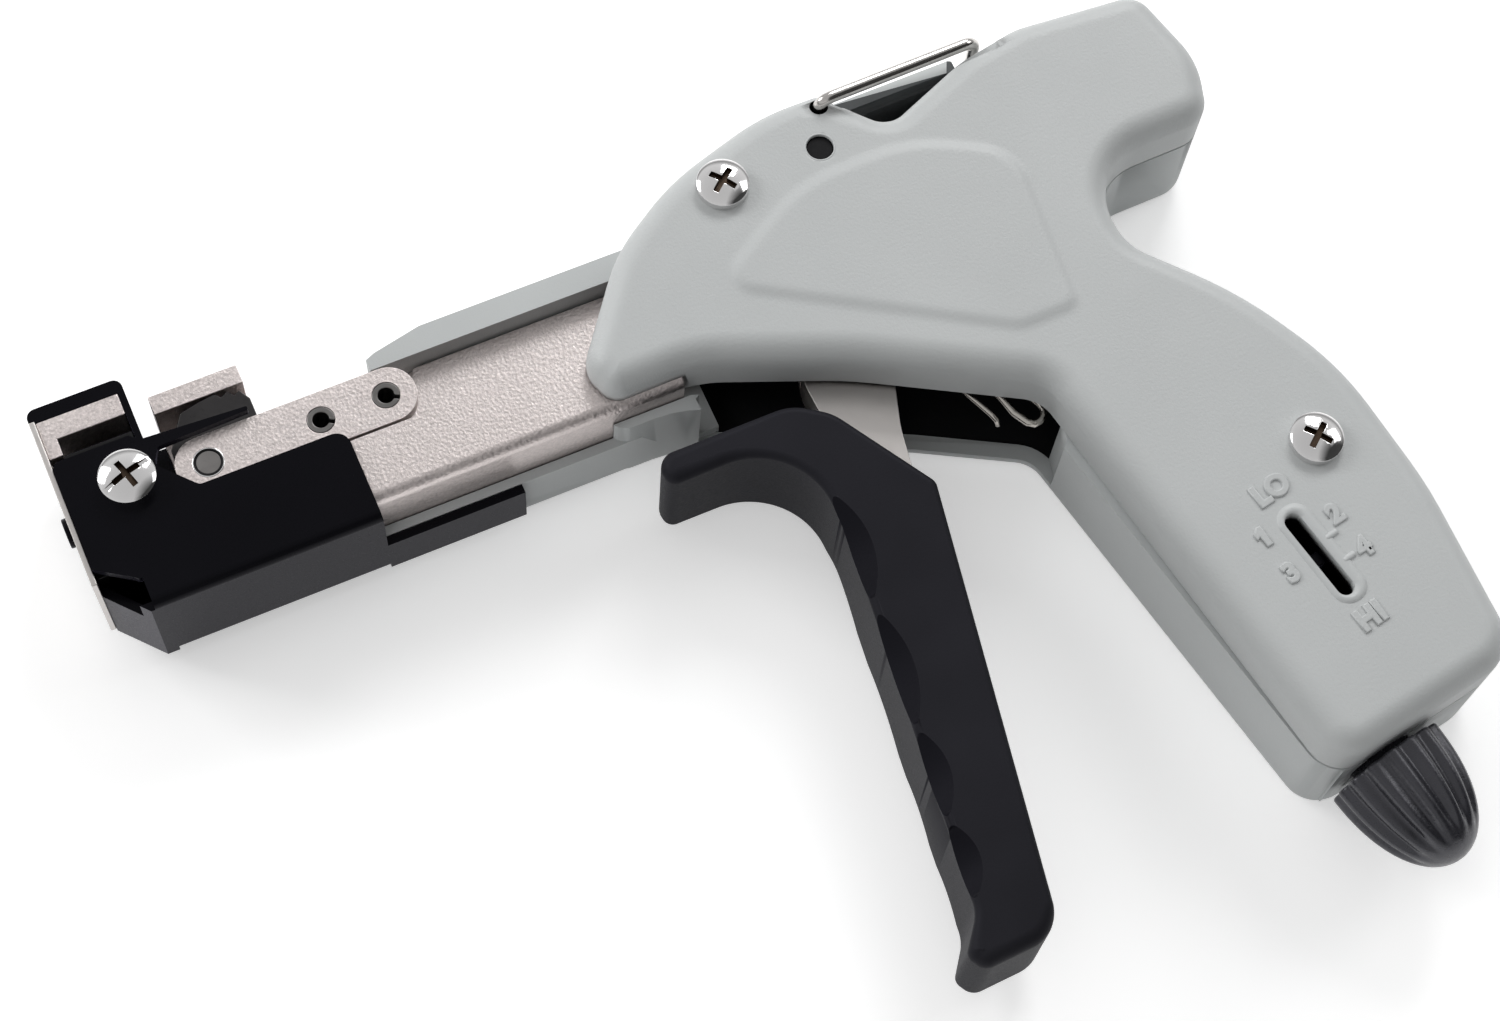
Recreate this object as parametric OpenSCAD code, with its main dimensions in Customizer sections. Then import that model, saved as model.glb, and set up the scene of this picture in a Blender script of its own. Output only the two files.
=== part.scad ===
// Cable tie tensioning tool, lying on the flat face of its far housing half.
// X runs from the nose to the heel along the barrel, Y from the grip up to the hanging bail,
// Z from the far side to the near side. The origin is the trigger's pivot axis on the far face.

/* [Housing] */
// Size that the housing outlines are shares of: about the length of the grip below the pivot
housing_size = 100; // [96:1:104]
// Thickness of the far half, from its flat face to the parting plane
far_depth = 17.5; // [17:0.25:18]
// Thickness of the near cover, from the parting plane to its flat face
near_depth = 10; // [9.75:0.25:10.5]
// Wall of both castings
housing_wall = 2.5; // [2:0.1:2.8]
// Height of the far half's rim where the trigger passes
rim_height = 3.2; // [3:0.1:4]
// Depth of the soft panel on the near cover
panel_depth = 0.4; // [0.2:0.1:0.6]
// Height of the wall behind the scoop above the parting plane
scoop_wall_rise = 2; // [1:0.25:2.5]

/* [Arm and barrel] */
// Height of the arm's rails above the far face
rail_top_z = 12.5; // [11:0.5:13]
// Y of the barrel's lower face, below the pivot
barrel_drop = 26; // [25:0.25:27]
// Y of the far barrel wall's top edge, below the pivot
barrel_rise = 1.8; // [1.5:0.1:2.5]
// Y of the near barrel wall's top edge, below the pivot
near_wall_drop = 15.5; // [15.3:0.1:16.5]
// Front end of the barrel, ahead of the pivot
barrel_front = 106; // [100:1:108]
// Rear end of the barrel, ahead of the pivot
barrel_rear = 33.5; // [32:0.5:36]
// Sheet of the barrel
barrel_sheet = 1.5; // [1.2:0.1:1.6]
// Thickness of the arm's rails
rail_wall = 1.5; // [1.2:0.1:1.6]

/* [Nose] */
// Width of the nose across the tool
nose_width = 20; // [20:0.25:21]
// Sheet of the nose
nose_sheet = 1.4; // [1.2:0.1:1.5]
// Front edge of the nose, ahead of the pivot
nose_front = 123.4; // [122:0.2:125]
// Rear edge of the nose, ahead of the pivot
nose_rear = 82.4; // [80:0.2:86]
// Width of the slot that the strap passes through
strap_width = 11; // [8:0.5:11]
// Y of the strap's upper face
strap_top = 1.2; // [1:0.1:1.4]
// Thickness of the front plate
front_plate = 0.9; // [0.8:0.1:1.2]
// Cutter blade thickness
blade_thick = 1.7; // [1.2:0.1:1.7]

/* [Gripper] */
// Y of the link plates' axis, below the pivot
link_drop = 10.6; // [10.4:0.1:10.8]
// Height of the link plates
link_height = 8.8; // [8:0.1:9]
// Thickness of the near link plate
link_thick = 2.2; // [1.8:0.1:2.3]
// Thickness of the pull bar
pull_thick = 1.5; // [1.2:0.1:1.6]
// X of the pawl pin, ahead of the pivot
pawl_pin_x = 102.4; // [102:0.1:103]
// Radius of the pawl pin
pawl_pin_r = 1.9; // [1.7:0.05:2]
// Radius of the roll pins
roll_pin_r = 2.1; // [1.9:0.05:2.2]
// Distance between the roll pins
roll_pin_pitch = 10.2; // [9.5:0.1:10.6]

/* [Trigger] */
// Radius of the trigger's pivot pin
pivot_r = 2.05; // [1.9:0.05:2.2]
// Distance from the pivot down to the drive pin
drive_arm = 12; // [11.5:0.1:12.4]
// Radius of the drive pin
drive_pin_r = 2.2; // [2:0.1:2.4]
// Width of the trigger lever across the tool
lever_width = 6.5; // [6.3:0.1:6.8]
// Sheet of the trigger lever
lever_sheet = 1.5; // [1.2:0.1:1.5]
// Width of the trigger grip across the tool
grip_width = 19.2; // [18:0.2:19.6]
// Rounding of the trigger grip's edges
grip_round = 1.2; // [0.8:0.1:1.4]
// Depth of the finger grooves on the grip's faces
groove_depth = 3; // [2:0.2:3.4]

/* [Tension control] */
// Radius of the knob's base
knob_r = 9.4; // [8.5:0.1:9.4]
// Length of the knob
knob_length = 17.6; // [15:0.2:20]
// Number of flutes on the knob
knob_flutes = 16; // [12:1:18]
// Radius of the tension screw
screw_r = 3; // [2.6:0.1:3.1]
// Mean radius of the tension spring
spring_r = 4.4; // [4.3:0.1:4.8]
// Wire of the tension spring
spring_wire = 1.6; // [1.2:0.1:1.7]
// Curls of the tension spring
spring_curls = 7; // [5:1:8]
// Length of the window over the pointer
window_length = 14.5; // [13.5:0.25:15]
// Width of the window over the pointer
window_width = 2.7; // [2.5:0.1:3.2]

/* [Bail and screws] */
// Wire radius of the hanging bail
bail_wire_r = 0.95; // [0.8:0.05:1]
// Head radius of the housing screws
housing_head_r = 4; // [3.6:0.1:4.2]
// Head radius of the nose screw
nose_head_r = 4.2; // [4:0.05:4.6]

/* [Hidden] */

// Facets, overruns and clearances
$fn = 48;
overrun = 0.5;
fit = 0.05;
slide_gap = 0.15;
seat_gap = 0.3;
weld = 0.6;
tiny_r = 0.02;
arc_step = 9;
round_step = 22.5;

// Levels across the tool
top_z = far_depth + near_depth;
mid_z = top_z / 2;
nose_near_z = mid_z + nose_width / 2;
nose_far_z = mid_z - nose_width / 2;
barrel_near_z = nose_near_z - nose_sheet - slide_gap;
barrel_far_z = nose_far_z + nose_sheet + slide_gap;
link_top_z = barrel_near_z - slide_gap;
link_bottom_z = link_top_z - link_thick;
pull_z = barrel_far_z + barrel_sheet + seat_gap;
block_z = pull_z + pull_thick + slide_gap;
arm_floor_z = barrel_far_z - slide_gap;
arm_face_z = housing_wall - tiny_r;
pivot_foot_z = housing_wall / 2;
rod_thick = 3;
rod_z = mid_z - rod_thick / 2;

// Levels up the tool
link_y = -link_drop;
link_low_y = link_y - link_height / 2;
link_high_y = link_y + link_height / 2;
barrel_low_y = -barrel_drop;
rail_low_y = barrel_low_y - slide_gap - rail_wall;
nose_low_y = rail_low_y - slide_gap - nose_sheet;
nose_x = -nose_front;
arm_reach = nose_rear - fit * 2;
rod_y = -20;
rod_height = 4;

// Outline helpers: a corner is [x, y, radius], and outlines run counter-clockwise
function unit(v) = v / norm(v);
function flat(p) = [p[0], p[1]];
function cross2(u, v) = u[0] * v[1] - u[1] * v[0];
function left(u) = [-u[1], u[0]];
function turned(q, w) = [q[0] * cos(w) - q[1] * sin(w), q[0] * sin(w) + q[1] * cos(w)];
function at(c, i) = c[(i + len(c)) % len(c)];
function heading(c, i) = unit(flat(at(c, i + 1)) - flat(at(c, i)));
function inset_corner(b, u, v, d) =
    let (p = flat(b) + (left(u) + left(v)) * d / (1 + u * v))
    [p[0], p[1], cross2(u, v) > 0 ? max(b[2] - d, tiny_r) : b[2] + d];
function inset(c, d) =
    [for (i = [0 : len(c) - 1]) inset_corner(c[i], heading(c, i - 1), heading(c, i), d)];
function arc_at(b, u, v) =
    let (
        w = atan2(cross2(u, v), u * v),
        start = flat(b) - u * b[2] * tan(abs(w) / 2),
        centre = start + left(u) * b[2] * sign(w),
        steps = max(1, ceil(abs(w) / arc_step))
    )
    [for (j = [0 : steps]) centre + turned(start - centre, w * j / steps)];
function outline(c) =
    [for (i = [0 : len(c) - 1]) each arc_at(c[i], heading(c, i - 1), heading(c, i))];

// A ring-shaped solid between levels [z, inset], joined round its section
module ring_band(c, levels) {
    rings = [for (l = levels) [for (p = outline(inset(c, l[1]))) [p[0], p[1], l[0]]]];
    n = len(rings[0]);
    m = len(rings);
    faces = [for (j = [0 : m - 1]) for (i = [0 : n - 1])
        let (
            a = j * n + i,
            b = j * n + (i + 1) % n,
            e = ((j + 1) % m) * n + (i + 1) % n,
            f = ((j + 1) % m) * n + i
        )
        each [[a, f, e], [a, e, b]]];
    polyhedron(points = [for (r = rings) each r], faces = faces);
}

// A solid with the outline c from low to high, its edges rounded by low_r and high_r
module rounded_solid(c, low, high, low_r, high_r) {
    inner = max(low_r, high_r) + weld;
    low_levels = low_r > 0
        ? [for (a = [0 : round_step : 90]) [low + low_r * (1 - cos(a)), low_r * (1 - sin(a))]]
        : [[low, 0]];
    high_levels = high_r > 0
        ? [for (a = [0 : round_step : 90]) [high - high_r * (1 - sin(a)), high_r * (1 - cos(a))]]
        : [[high, 0]];
    ring_band(c, concat(low_levels, high_levels, [[high, inner], [low, inner]]));
    translate([0, 0, low]) linear_extrude(high - low) polygon(outline(inset(c, inner - weld / 2)));
}

module plate(c, low, high) {
    translate([0, 0, low]) linear_extrude(high - low) polygon(outline(c));
}

module block(x, y, z) {
    translate([x[0], y[0], z[0]]) cube([x[1] - x[0], y[1] - y[0], z[1] - z[0]]);
}

module post(p, r, low, high) {
    translate([p[0], p[1], low]) cylinder(r = r, h = high - low);
}

// A tube along points, each ring square to the path
function path_heading(p, i) = unit(p[min(i + 1, len(p) - 1)] - p[max(i - 1, 0)]);
function side_of(t) = unit(cross(t, abs(t[2]) < 0.9 ? [0, 0, 1] : [1, 0, 0]));
function carried(side, t) = unit(side - t * (side * t));
function frames(p, i = 0, side = [0, 0, 0], out = []) =
    i == len(p) ? out
    : let (
        t = path_heading(p, i),
        s = i == 0 ? side_of(t) : carried(side, t)
    )
    frames(p, i + 1, s, concat(out, [[t, s]]));
module tube(p, r, sides) {
    f = frames(p);
    n = len(p);
    points = [for (i = [0 : n - 1]) for (k = [0 : sides - 1])
        let (w = 360 * k / sides, s = f[i][1], b = cross(f[i][0], s))
        p[i] + s * r * cos(w) + b * r * sin(w)];
    walls = [for (i = [0 : n - 2]) for (k = [0 : sides - 1])
        let (a = i * sides + k, b = i * sides + (k + 1) % sides)
        each [[a, a + sides, b + sides], [a, b + sides, b]]];
    first = [for (k = [1 : sides - 2]) [0, k, k + 1]];
    last = [for (k = [1 : sides - 2]) [(n - 1) * sides, (n - 1) * sides + k + 1, (n - 1) * sides + k]];
    polyhedron(points = points, faces = concat(walls, first, last));
}
curl_rings = 8;
tube_sides = 6;
function coil(r, pitch, rings) =
    [for (i = [0 : rings])
        let (w = 360 * i / curl_rings)
        [r * cos(w), r * sin(w), pitch * i / curl_rings]];
function least_gap(p, wire_r) =
    min([for (i = [0 : len(p) - 1]) for (j = [i + curl_rings - 2 : 1 : len(p) - 1])
        if (j < len(p)) norm(p[i] - p[j]) - 2 * wire_r]);

// A pan head screw with a cross recess, its head's seat at z = 0
recess_depth_share = 0.55;
wing_share = 0.55;
wing_width_share = 0.22;
slot_width_share = 0.16;
head_dome_share = 2.1;
module pan_screw(head_r, head_height, shank_r, shank_length, slotted) {
    wing = head_r * wing_share;
    wing_width = head_r * wing_width_share;
    slot_width = head_r * slot_width_share;
    depth = head_height * recess_depth_share;
    dome = head_r * head_dome_share;
    difference() {
        intersection() {
            cylinder(r = head_r, h = head_height);
            translate([0, 0, head_height - dome]) sphere(r = dome);
        }
        for (w = [0, 90]) rotate([0, 0, w])
            block([-wing, wing], [-wing_width / 2, wing_width / 2],
                [head_height - depth, head_height + overrun]);
        if (slotted)
            block([-head_r - overrun, head_r + overrun], [-slot_width / 2, slot_width / 2],
                [head_height - depth / 2, head_height + overrun]);
    }
    translate([0, 0, -shank_length]) cylinder(r = shank_r, h = shank_length + tiny_r);
}

// Housing outlines
cover_shares = [
    [-0.470, -0.190, 0.050], [-0.448, -0.250, 0.032], [-0.310, -0.248, 0.200],
    [-0.100, -0.332, 0.600], [0.156, -0.476, 0.060], [0.281, -1.178, 0.055],
    [0.600, -1.125, 0.070], [0.604, -0.840, 0.600], [0.575, -0.620, 0.450],
    [0.490, -0.455, 0.600], [0.369, -0.318, 0.090], [0.369, -0.174, 0.100],
    [0.586, -0.169, 0.050], [0.616, -0.075, 0.140], [0.580, 0.070, 0.045],
    [0.373, 0.086, 0.120], [0.272, 0.067, 0.200], [0.120, 0.006, 0.040],
    [0.040, 0.096, 0.022], [-0.058, 0.0965, 0.350], [-0.230, 0.045, 0.400],
    [-0.350, -0.033, 0.280]];
far_shares = [
    [-0.470, -0.190, 0.050], [-0.448, -0.276, 0.032], [-0.350, -0.276, 0.200],
    [-0.040, -0.408, 0.600], [0.146, -0.510, 0.050], [0.281, -1.178, 0.055],
    [0.600, -1.125, 0.070], [0.604, -0.840, 0.600], [0.575, -0.620, 0.450],
    [0.490, -0.455, 0.600], [0.369, -0.318, 0.090], [0.369, -0.174, 0.100],
    [0.586, -0.169, 0.050], [0.616, -0.075, 0.140], [0.580, 0.070, 0.045],
    [0.373, 0.086, 0.120], [0.283, 0.069, 0.003], [0.277, 0.1005, 0.008],
    [-0.058, 0.0965, 0.350], [-0.230, 0.045, 0.400], [-0.350, -0.033, 0.280]];
mouth_shares = [
    [-0.320, -0.270, 0.001], [-0.320, -0.600, 0.001], [0.120, -0.600, 0.001],
    [0.166, -0.546, 0.001], [0.176, -0.500, 0.020], [0.140, -0.440, 0.040],
    [-0.040, -0.365, 0.100], [-0.200, -0.290, 0.100], [-0.270, -0.240, 0.001]];
panel_shares = [
    [-0.235, -0.155, 0.030], [0.150, -0.388, 0.050], [0.245, -0.388, 0.020],
    [0.270, -0.120, 0.080], [0.130, -0.042, 0.250], [-0.060, -0.048, 0.250]];
cover_round_share = 0.04;
cover_round = cover_round_share * housing_size;
far_round_share = 0.024;
far_round = far_round_share * housing_size;
cover_corners = cover_shares * housing_size;
far_corners = far_shares * housing_size;
screw_place_shares = [[-0.164, -0.005], [0.471, -0.723]];
bail_place_share = [0.0274, 0.068];
cutoff_pivot_share = [0.40, -0.52];
screw_places = screw_place_shares * housing_size;
bail_place = bail_place_share * housing_size;
cutoff_pivot = cutoff_pivot_share * housing_size;
housing_screw_r = 2;
boss_share = 0.04;
boss_r = boss_share * housing_size;
bail_bore_r = bail_wire_r + fit;
bail_pad = 2.4;
bail_sill = 1.3;
bail_boss_r = 3;
bail_leg_depth = 1.8;
bail_leg_near_z = top_z - bail_leg_depth;
bail_leg_far_z = bail_leg_depth;
bail_clear = bail_wire_r + seat_gap;
bail_room_shares = [0.334, 0.17];
bail_room = bail_room_shares * housing_size;
bail_reach_share = 0.279;
bail_reach = bail_reach_share * housing_size;

// The tension control stands in its own frame: Y runs up its axis from the knob's base
knob_place_share = [0.38, -1.17];
knob_place = knob_place_share * housing_size;
knob_tilt = 10.9;
module tension_frame() {
    translate([knob_place[0], knob_place[1], mid_z]) rotate([0, 0, knob_tilt]) children();
}
stem_r = 5;
stem_bore_r = stem_r + fit;
nut_share = 0.278;
nut_centre = nut_share * housing_size;
nut_length = 8;
pointer_offset = 6.5;
collar_share = 0.062;
collar_r = collar_share * housing_size;
collar_thick = 2;
collar_y = 4.6;
bearing_depth = 4.2;
bearing_low = 1.5;

module cavity(c, low, high) {
    plate(inset(c, housing_wall), low, high);
}

// What both halves of the housing are cut by
module shared_cuts() {
    post([0, 0], pivot_r + fit, pivot_foot_z, top_z + overrun);
    post(cutoff_pivot, pivot_r + fit, housing_wall, top_z - housing_wall);
    tension_frame() rotate([90, 0, 0])
        translate([0, 0, -bearing_depth - overrun])
            cylinder(r = stem_bore_r, h = bearing_depth * 2 + overrun);
}

module bearing_block(low, high) {
    tension_frame()
        block([-stem_r - housing_wall, stem_r + housing_wall], [bearing_low, bearing_depth],
            [low - mid_z, high - mid_z]);
}

module far_housing() {
    color([0.72, 0.745, 0.735]) {
        difference() {
            union() {
                difference() {
                    rounded_solid(far_corners, 0, far_depth, far_round, 0);
                    cavity(far_corners, housing_wall, far_depth + overrun);
                    plate(mouth_shares * housing_size, rim_height, far_depth + overrun);
                    block([-housing_size / 2, -rail_join],
                        [barrel_low_y - slide_gap, -barrel_rise + slide_gap],
                        [housing_wall + tiny_r, far_depth + overrun]);
                }
                arm();
                scoop_wall();
                for (p = screw_places) post(p, boss_r, housing_wall - tiny_r, far_depth);
                post([0, 0], boss_r, housing_wall - tiny_r, pull_z - seat_gap);
                post(cutoff_pivot, boss_r, housing_wall - tiny_r, rod_z - seat_gap);
                post(bail_place, bail_boss_r, bail_leg_far_z + bail_clear, lever_low_z - seat_gap);
                bearing_block(housing_wall - tiny_r, far_depth);
                block([bail_place[0] - bail_pad, bail_place[0] + bail_reach - bail_bend * 2],
                    [bail_place[1] - bail_pad, bail_place[1] + housing_wall / 2],
                    [housing_wall - tiny_r, bail_leg_far_z + bail_clear + housing_wall]);
            }
            shared_cuts();
            for (p = screw_places) post(p, housing_screw_r + fit, housing_wall, far_depth + overrun);
            post(bail_place, bail_bore_r, -overrun, far_depth);
            block([bail_place[0] - bail_pad, bail_room[0]],
                [bail_place[1] - bail_sill, bail_room[1]],
                [-overrun, bail_leg_far_z + bail_clear]);
            for (x = barrel_screw_x) post([x, barrel_screw_y], barrel_screw_r + fit, -overrun, far_depth);
        }
    }
}

// The arm under the barrel: a floor and two rails, the upper one tapered at its front
rail_high_y = 2.45;
rail_foot_y = -barrel_rise + slide_gap - tiny_r;
rail_taper = 9.5;
rail_step = 1.6;
rail_tip_y = 0.2;
rail_front = 74.5;
rail_foot = 100;
rail_join = 28;
rail_end = 41;
rail_ramp = 5;
rail_ramp_z = 4.6;
barrel_screw_x = [-70, -53];
barrel_screw_y = -14;
barrel_screw_r = 1.5;
module arm() {
    block([-arm_reach, -rail_join], [rail_low_y, -barrel_rise + slide_gap], [arm_face_z, arm_floor_z]);
    block([-rail_foot, -rail_end], [rail_low_y, barrel_low_y - slide_gap],
        [arm_floor_z + slide_gap, rail_top_z]);
    translate([0, barrel_low_y - slide_gap, 0]) rotate([90, 0, 0]) linear_extrude(rail_wall) polygon([
        [-arm_reach, arm_floor_z - tiny_r], [-rail_end + rail_ramp, arm_floor_z - tiny_r],
        [-rail_end + rail_ramp, rail_ramp_z], [-rail_end, rail_top_z], [-arm_reach, rail_top_z]]);
    translate([0, 0, arm_face_z]) linear_extrude(rail_top_z - arm_face_z) polygon([
        [-rail_front, rail_foot_y], [-rail_join, rail_foot_y],
        [-rail_join, rail_high_y], [-rail_front + rail_taper, rail_high_y],
        [-rail_front + rail_step, rail_high_y - rail_step], [-rail_front, rail_tip_y]]);
}

// The far half's wall behind the near cover's scoop
scoop_shares = [0.06, 0.277];
scoop_wall_thick = 1.9;
module scoop_wall() {
    scoop = scoop_shares * housing_size;
    intersection() {
        difference() {
            plate(far_corners, far_depth - overrun, far_depth + scoop_wall_rise);
            plate(inset(far_corners, scoop_wall_thick), far_depth - housing_wall,
                far_depth + scoop_wall_rise + overrun);
        }
        block([scoop[0], scoop[1]], [bail_place[1], bail_room[1]],
            [far_depth - overrun, far_depth + scoop_wall_rise]);
    }
}

module near_cover() {
    color([0.74, 0.765, 0.755]) {
        difference() {
            union() {
                difference() {
                    rounded_solid(cover_corners, far_depth, top_z, 0, cover_round);
                    cavity(cover_corners, far_depth - overrun, top_z - housing_wall);
                    block([-housing_size / 2, -barrel_rear + overrun],
                        [rail_low_y - housing_wall, -near_wall_drop + slide_gap],
                        [far_depth - overrun, barrel_near_z + slide_gap]);
                }
                for (p = screw_places)
                    post(p, boss_r, far_depth + tiny_r, top_z - housing_wall + tiny_r);
                post([0, 0], boss_r, mid_z + lever_width / 2 + seat_gap, top_z - housing_wall + tiny_r);
                post(cutoff_pivot, boss_r, rod_z + rod_thick + seat_gap + fit,
                    top_z - housing_wall + tiny_r);
                near_bail_boss();
                bearing_block(far_depth + tiny_r, top_z - housing_wall + tiny_r);
                pointer_rim();
            }
            shared_cuts();
            for (p = screw_places)
                post(p, housing_screw_r + fit, far_depth - overrun, top_z + overrun);
            post(bail_place, bail_bore_r, far_depth - overrun, top_z + overrun);
            block([bail_place[0] - bail_pad, bail_room[0]],
                [bail_place[1] - bail_sill, bail_room[1]],
                [bail_leg_near_z - bail_clear, top_z + overrun]);
            translate([0, 0, top_z - panel_depth]) linear_extrude(panel_depth + overrun)
                polygon(outline(panel_shares * housing_size));
            pointer_window();
        }
    }
}

// The window over the pointer, with a low rim round it and ticks beside it
rim_proud = 0.35;
rim_border = 1.5;
end_share = 0.98;
tick_length = 1.6;
tick_width = 0.6;
tick_pitch_share = 0.3;
module pointer_window() {
    tension_frame() translate([pointer_offset, nut_centre, 0])
        slot_shape(window_length, window_width, near_depth);
}
module slot_shape(length, width, height) {
    x = width / 2;
    y = length / 2;
    r = x * end_share;
    plate([[-x, -y, r], [x, -y, r], [x, y, r], [-x, y, r]], top_z - mid_z - height,
        top_z - mid_z + height);
}
module pointer_rim() {
    tension_frame() translate([pointer_offset, nut_centre, 0]) {
        intersection() {
            slot_shape(window_length + rim_border * 2, window_width + rim_border * 2, near_depth);
            block([-housing_size, housing_size], [-housing_size, housing_size],
                [top_z - mid_z - rim_proud, top_z - mid_z + rim_proud]);
        }
        for (k = [-1 : 1])
            translate([window_width / 2 + rim_border, k * window_length * tick_pitch_share, 0])
            block([0, tick_length], [-tick_width / 2, tick_width / 2],
                [top_z - mid_z - rim_proud, top_z - mid_z + rim_proud]);
    }
}

housing_head_height = 2.4;
module housing_screws() {
    color([0.86, 0.86, 0.87]) for (p = screw_places)
        translate([p[0], p[1], top_z])
            rotate([0, 0, 38]) pan_screw(housing_head_r, housing_head_height, housing_screw_r,
                top_z - housing_wall * 2, false);
}

pin_sink = 0.5;
module trigger_pivot_pin() {
    color([0.08, 0.08, 0.09]) post([0, 0], pivot_r, pivot_foot_z + tiny_r, top_z - pin_sink);
}

// A U-section along X: far wall, floor and near wall with a rounded bend
module u_section(near_y, far_y, low_y, far_z, near_z, sheet, bend_r) {
    outer = [[far_z, low_y, bend_r], [near_z, low_y, bend_r],
        [near_z, far_y, tiny_r], [far_z, far_y, tiny_r]];
    inner_r = max(bend_r - sheet, tiny_r);
    inner = [[far_z + sheet, low_y + sheet, inner_r], [near_z - sheet, low_y + sheet, inner_r],
        [near_z - sheet, far_y + overrun, tiny_r], [far_z + sheet, far_y + overrun, tiny_r]];
    difference() {
        polygon(outline(outer));
        polygon(outline(inner));
        translate([near_z - sheet - overrun, near_y])
            square([sheet + overrun * 2, far_y - near_y + overrun]);
    }
}
// Takes a section drawn as [z, y] and runs it along X
module along_x(x0, x1) {
    translate([x0, 0, 0]) rotate([0, 90, 0]) linear_extrude(x1 - x0) mirror([1, 0]) children();
}

barrel_bend = 1.8;
module barrel_channel() {
    color([0.72, 0.69, 0.66]) difference() {
        along_x(-barrel_front, -barrel_rear)
            u_section(-near_wall_drop, -barrel_rise, barrel_low_y, barrel_far_z, barrel_near_z,
                barrel_sheet, barrel_bend);
        for (x = barrel_screw_x)
            post([x, barrel_screw_y], barrel_screw_r + fit, barrel_far_z - overrun,
                barrel_far_z + barrel_sheet + overrun);
    }
}

barrel_head_r = 2.8;
barrel_head = 1;
module barrel_screws() {
    color([0.6, 0.6, 0.62]) for (x = barrel_screw_x) translate([x, barrel_screw_y, 0]) {
        translate([0, 0, arm_face_z - barrel_head]) cylinder(r = barrel_head_r, h = barrel_head);
        translate([0, 0, arm_face_z - tiny_r])
            cylinder(r = barrel_screw_r, h = barrel_far_z + barrel_sheet - arm_face_z);
    }
}

// Nose: near wall with its window for the link plate, floor and far wall
nose_screw_x = -114;
nose_screw_y = -9.7;
nose_screw_r = 2.5;
nose_bend = 1.6;
lip_rear = 60.5;
wall_foot_y = -25;
notch_y = -20.6;
notch_run = 6.2;
notch_lip = 0.9;
window_low_y = link_low_y + 0.9;
window_run = 9.2;
window_mid_y = -8.7;
window_front = 4.3;
window_step = 1.3;
window_lead = 2.35;
finger_low_y = -6.2;
finger_rise = 0.45;
finger_tip_x = -94.3;
finger_high_y = -4.1;
finger_tip_high_y = -5.1;
nose_top_y = -2.9;
window_r = 1.15;
finger_r = 0.7;
finger_tip_r = 0.25;
near_wall_corners = [
    [nose_x, notch_y, tiny_r], [nose_x + notch_run - notch_lip, wall_foot_y + notch_lip, finger_r],
    [nose_x + notch_run, wall_foot_y, tiny_r], [-nose_rear, wall_foot_y, tiny_r],
    [-nose_rear, window_low_y, window_r * 2], [nose_screw_x + window_run, window_low_y, window_r],
    [nose_screw_x + window_front, window_mid_y, window_r],
    [nose_screw_x + window_front + window_step, finger_low_y, finger_r],
    [finger_tip_x, finger_low_y + finger_rise, finger_tip_r],
    [finger_tip_x, finger_tip_high_y, finger_tip_r],
    [nose_screw_x + window_front - finger_r, finger_high_y, finger_r],
    [nose_screw_x + window_lead, nose_top_y, finger_r],
    [nose_x, nose_top_y, window_r]];
module nose_channel() {
    color([0.06, 0.06, 0.075]) {
        nose_body();
        chamfer_sheet();
    }
}
module nose_body() {
    difference() {
        union() {
            plate(near_wall_corners, nose_near_z - nose_sheet, nose_near_z);
            along_x(nose_x, -nose_rear)
                u_section(wall_foot_y + tiny_r, wall_foot_y + tiny_r, nose_low_y, nose_far_z,
                    nose_near_z, nose_sheet, nose_bend);
            block([nose_x, -nose_rear], [wall_foot_y, hood_low_y], [nose_far_z, nose_far_z + nose_sheet]);
            block([nose_x, nose_x + hood_length - hood_leg], [hood_low_y - tiny_r, hood_top_y - hood_thick],
                [nose_far_z, nose_far_z + nose_sheet]);
            block([nose_x + hood_length - hood_leg - tiny_r, nose_x + far_ear_reach],
                [hood_low_y - tiny_r, far_ear_top_y], [nose_far_z, nose_far_z + nose_sheet]);
            block([-nose_rear - tiny_r, -lip_rear], [nose_low_y, nose_low_y + nose_sheet],
                [nose_far_z, rail_top_z]);
        }
        block([nose_x - overrun, nose_x + notch_run], [nose_low_y + nose_sheet, wall_foot_y + overrun],
            [mid_z, nose_near_z + overrun]);
        block([nose_x - overrun, nose_x + notch_run], [nose_low_y - overrun, wall_foot_y + overrun],
            [nose_near_z - nose_bend, nose_near_z + overrun]);
        chamfer_cut();
        post([nose_screw_x, nose_screw_y], nose_screw_r + fit, nose_far_z - overrun, nose_near_z + overrun);
    }
}
far_ear_reach = 20.4;
far_ear_top_y = 1.5;
chamfer_run = 5.6;
chamfer_rise = 6.4;
chamfer_wall = 1.9;
chamfer_top_z = 18;
chamfer_y = nose_low_y + chamfer_rise;
module chamfer_cut() {
    slope = chamfer_run / chamfer_rise;
    translate([0, 0, nose_far_z - overrun]) linear_extrude(nose_width + overrun * 2) polygon([
        [nose_x - overrun * slope, chamfer_y + overrun],
        [nose_x - overrun * slope - overrun, nose_low_y - overrun],
        [nose_x + chamfer_run + overrun * slope, nose_low_y - overrun]]);
}
module chamfer_sheet() {
    translate([0, 0, nose_far_z]) linear_extrude(chamfer_top_z - nose_far_z) polygon([
        [nose_x, chamfer_y], [nose_x + chamfer_run, nose_low_y],
        [nose_x + chamfer_run + chamfer_wall, nose_low_y],
        [nose_x, chamfer_y + chamfer_wall * chamfer_rise / chamfer_run]]);
}

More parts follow.
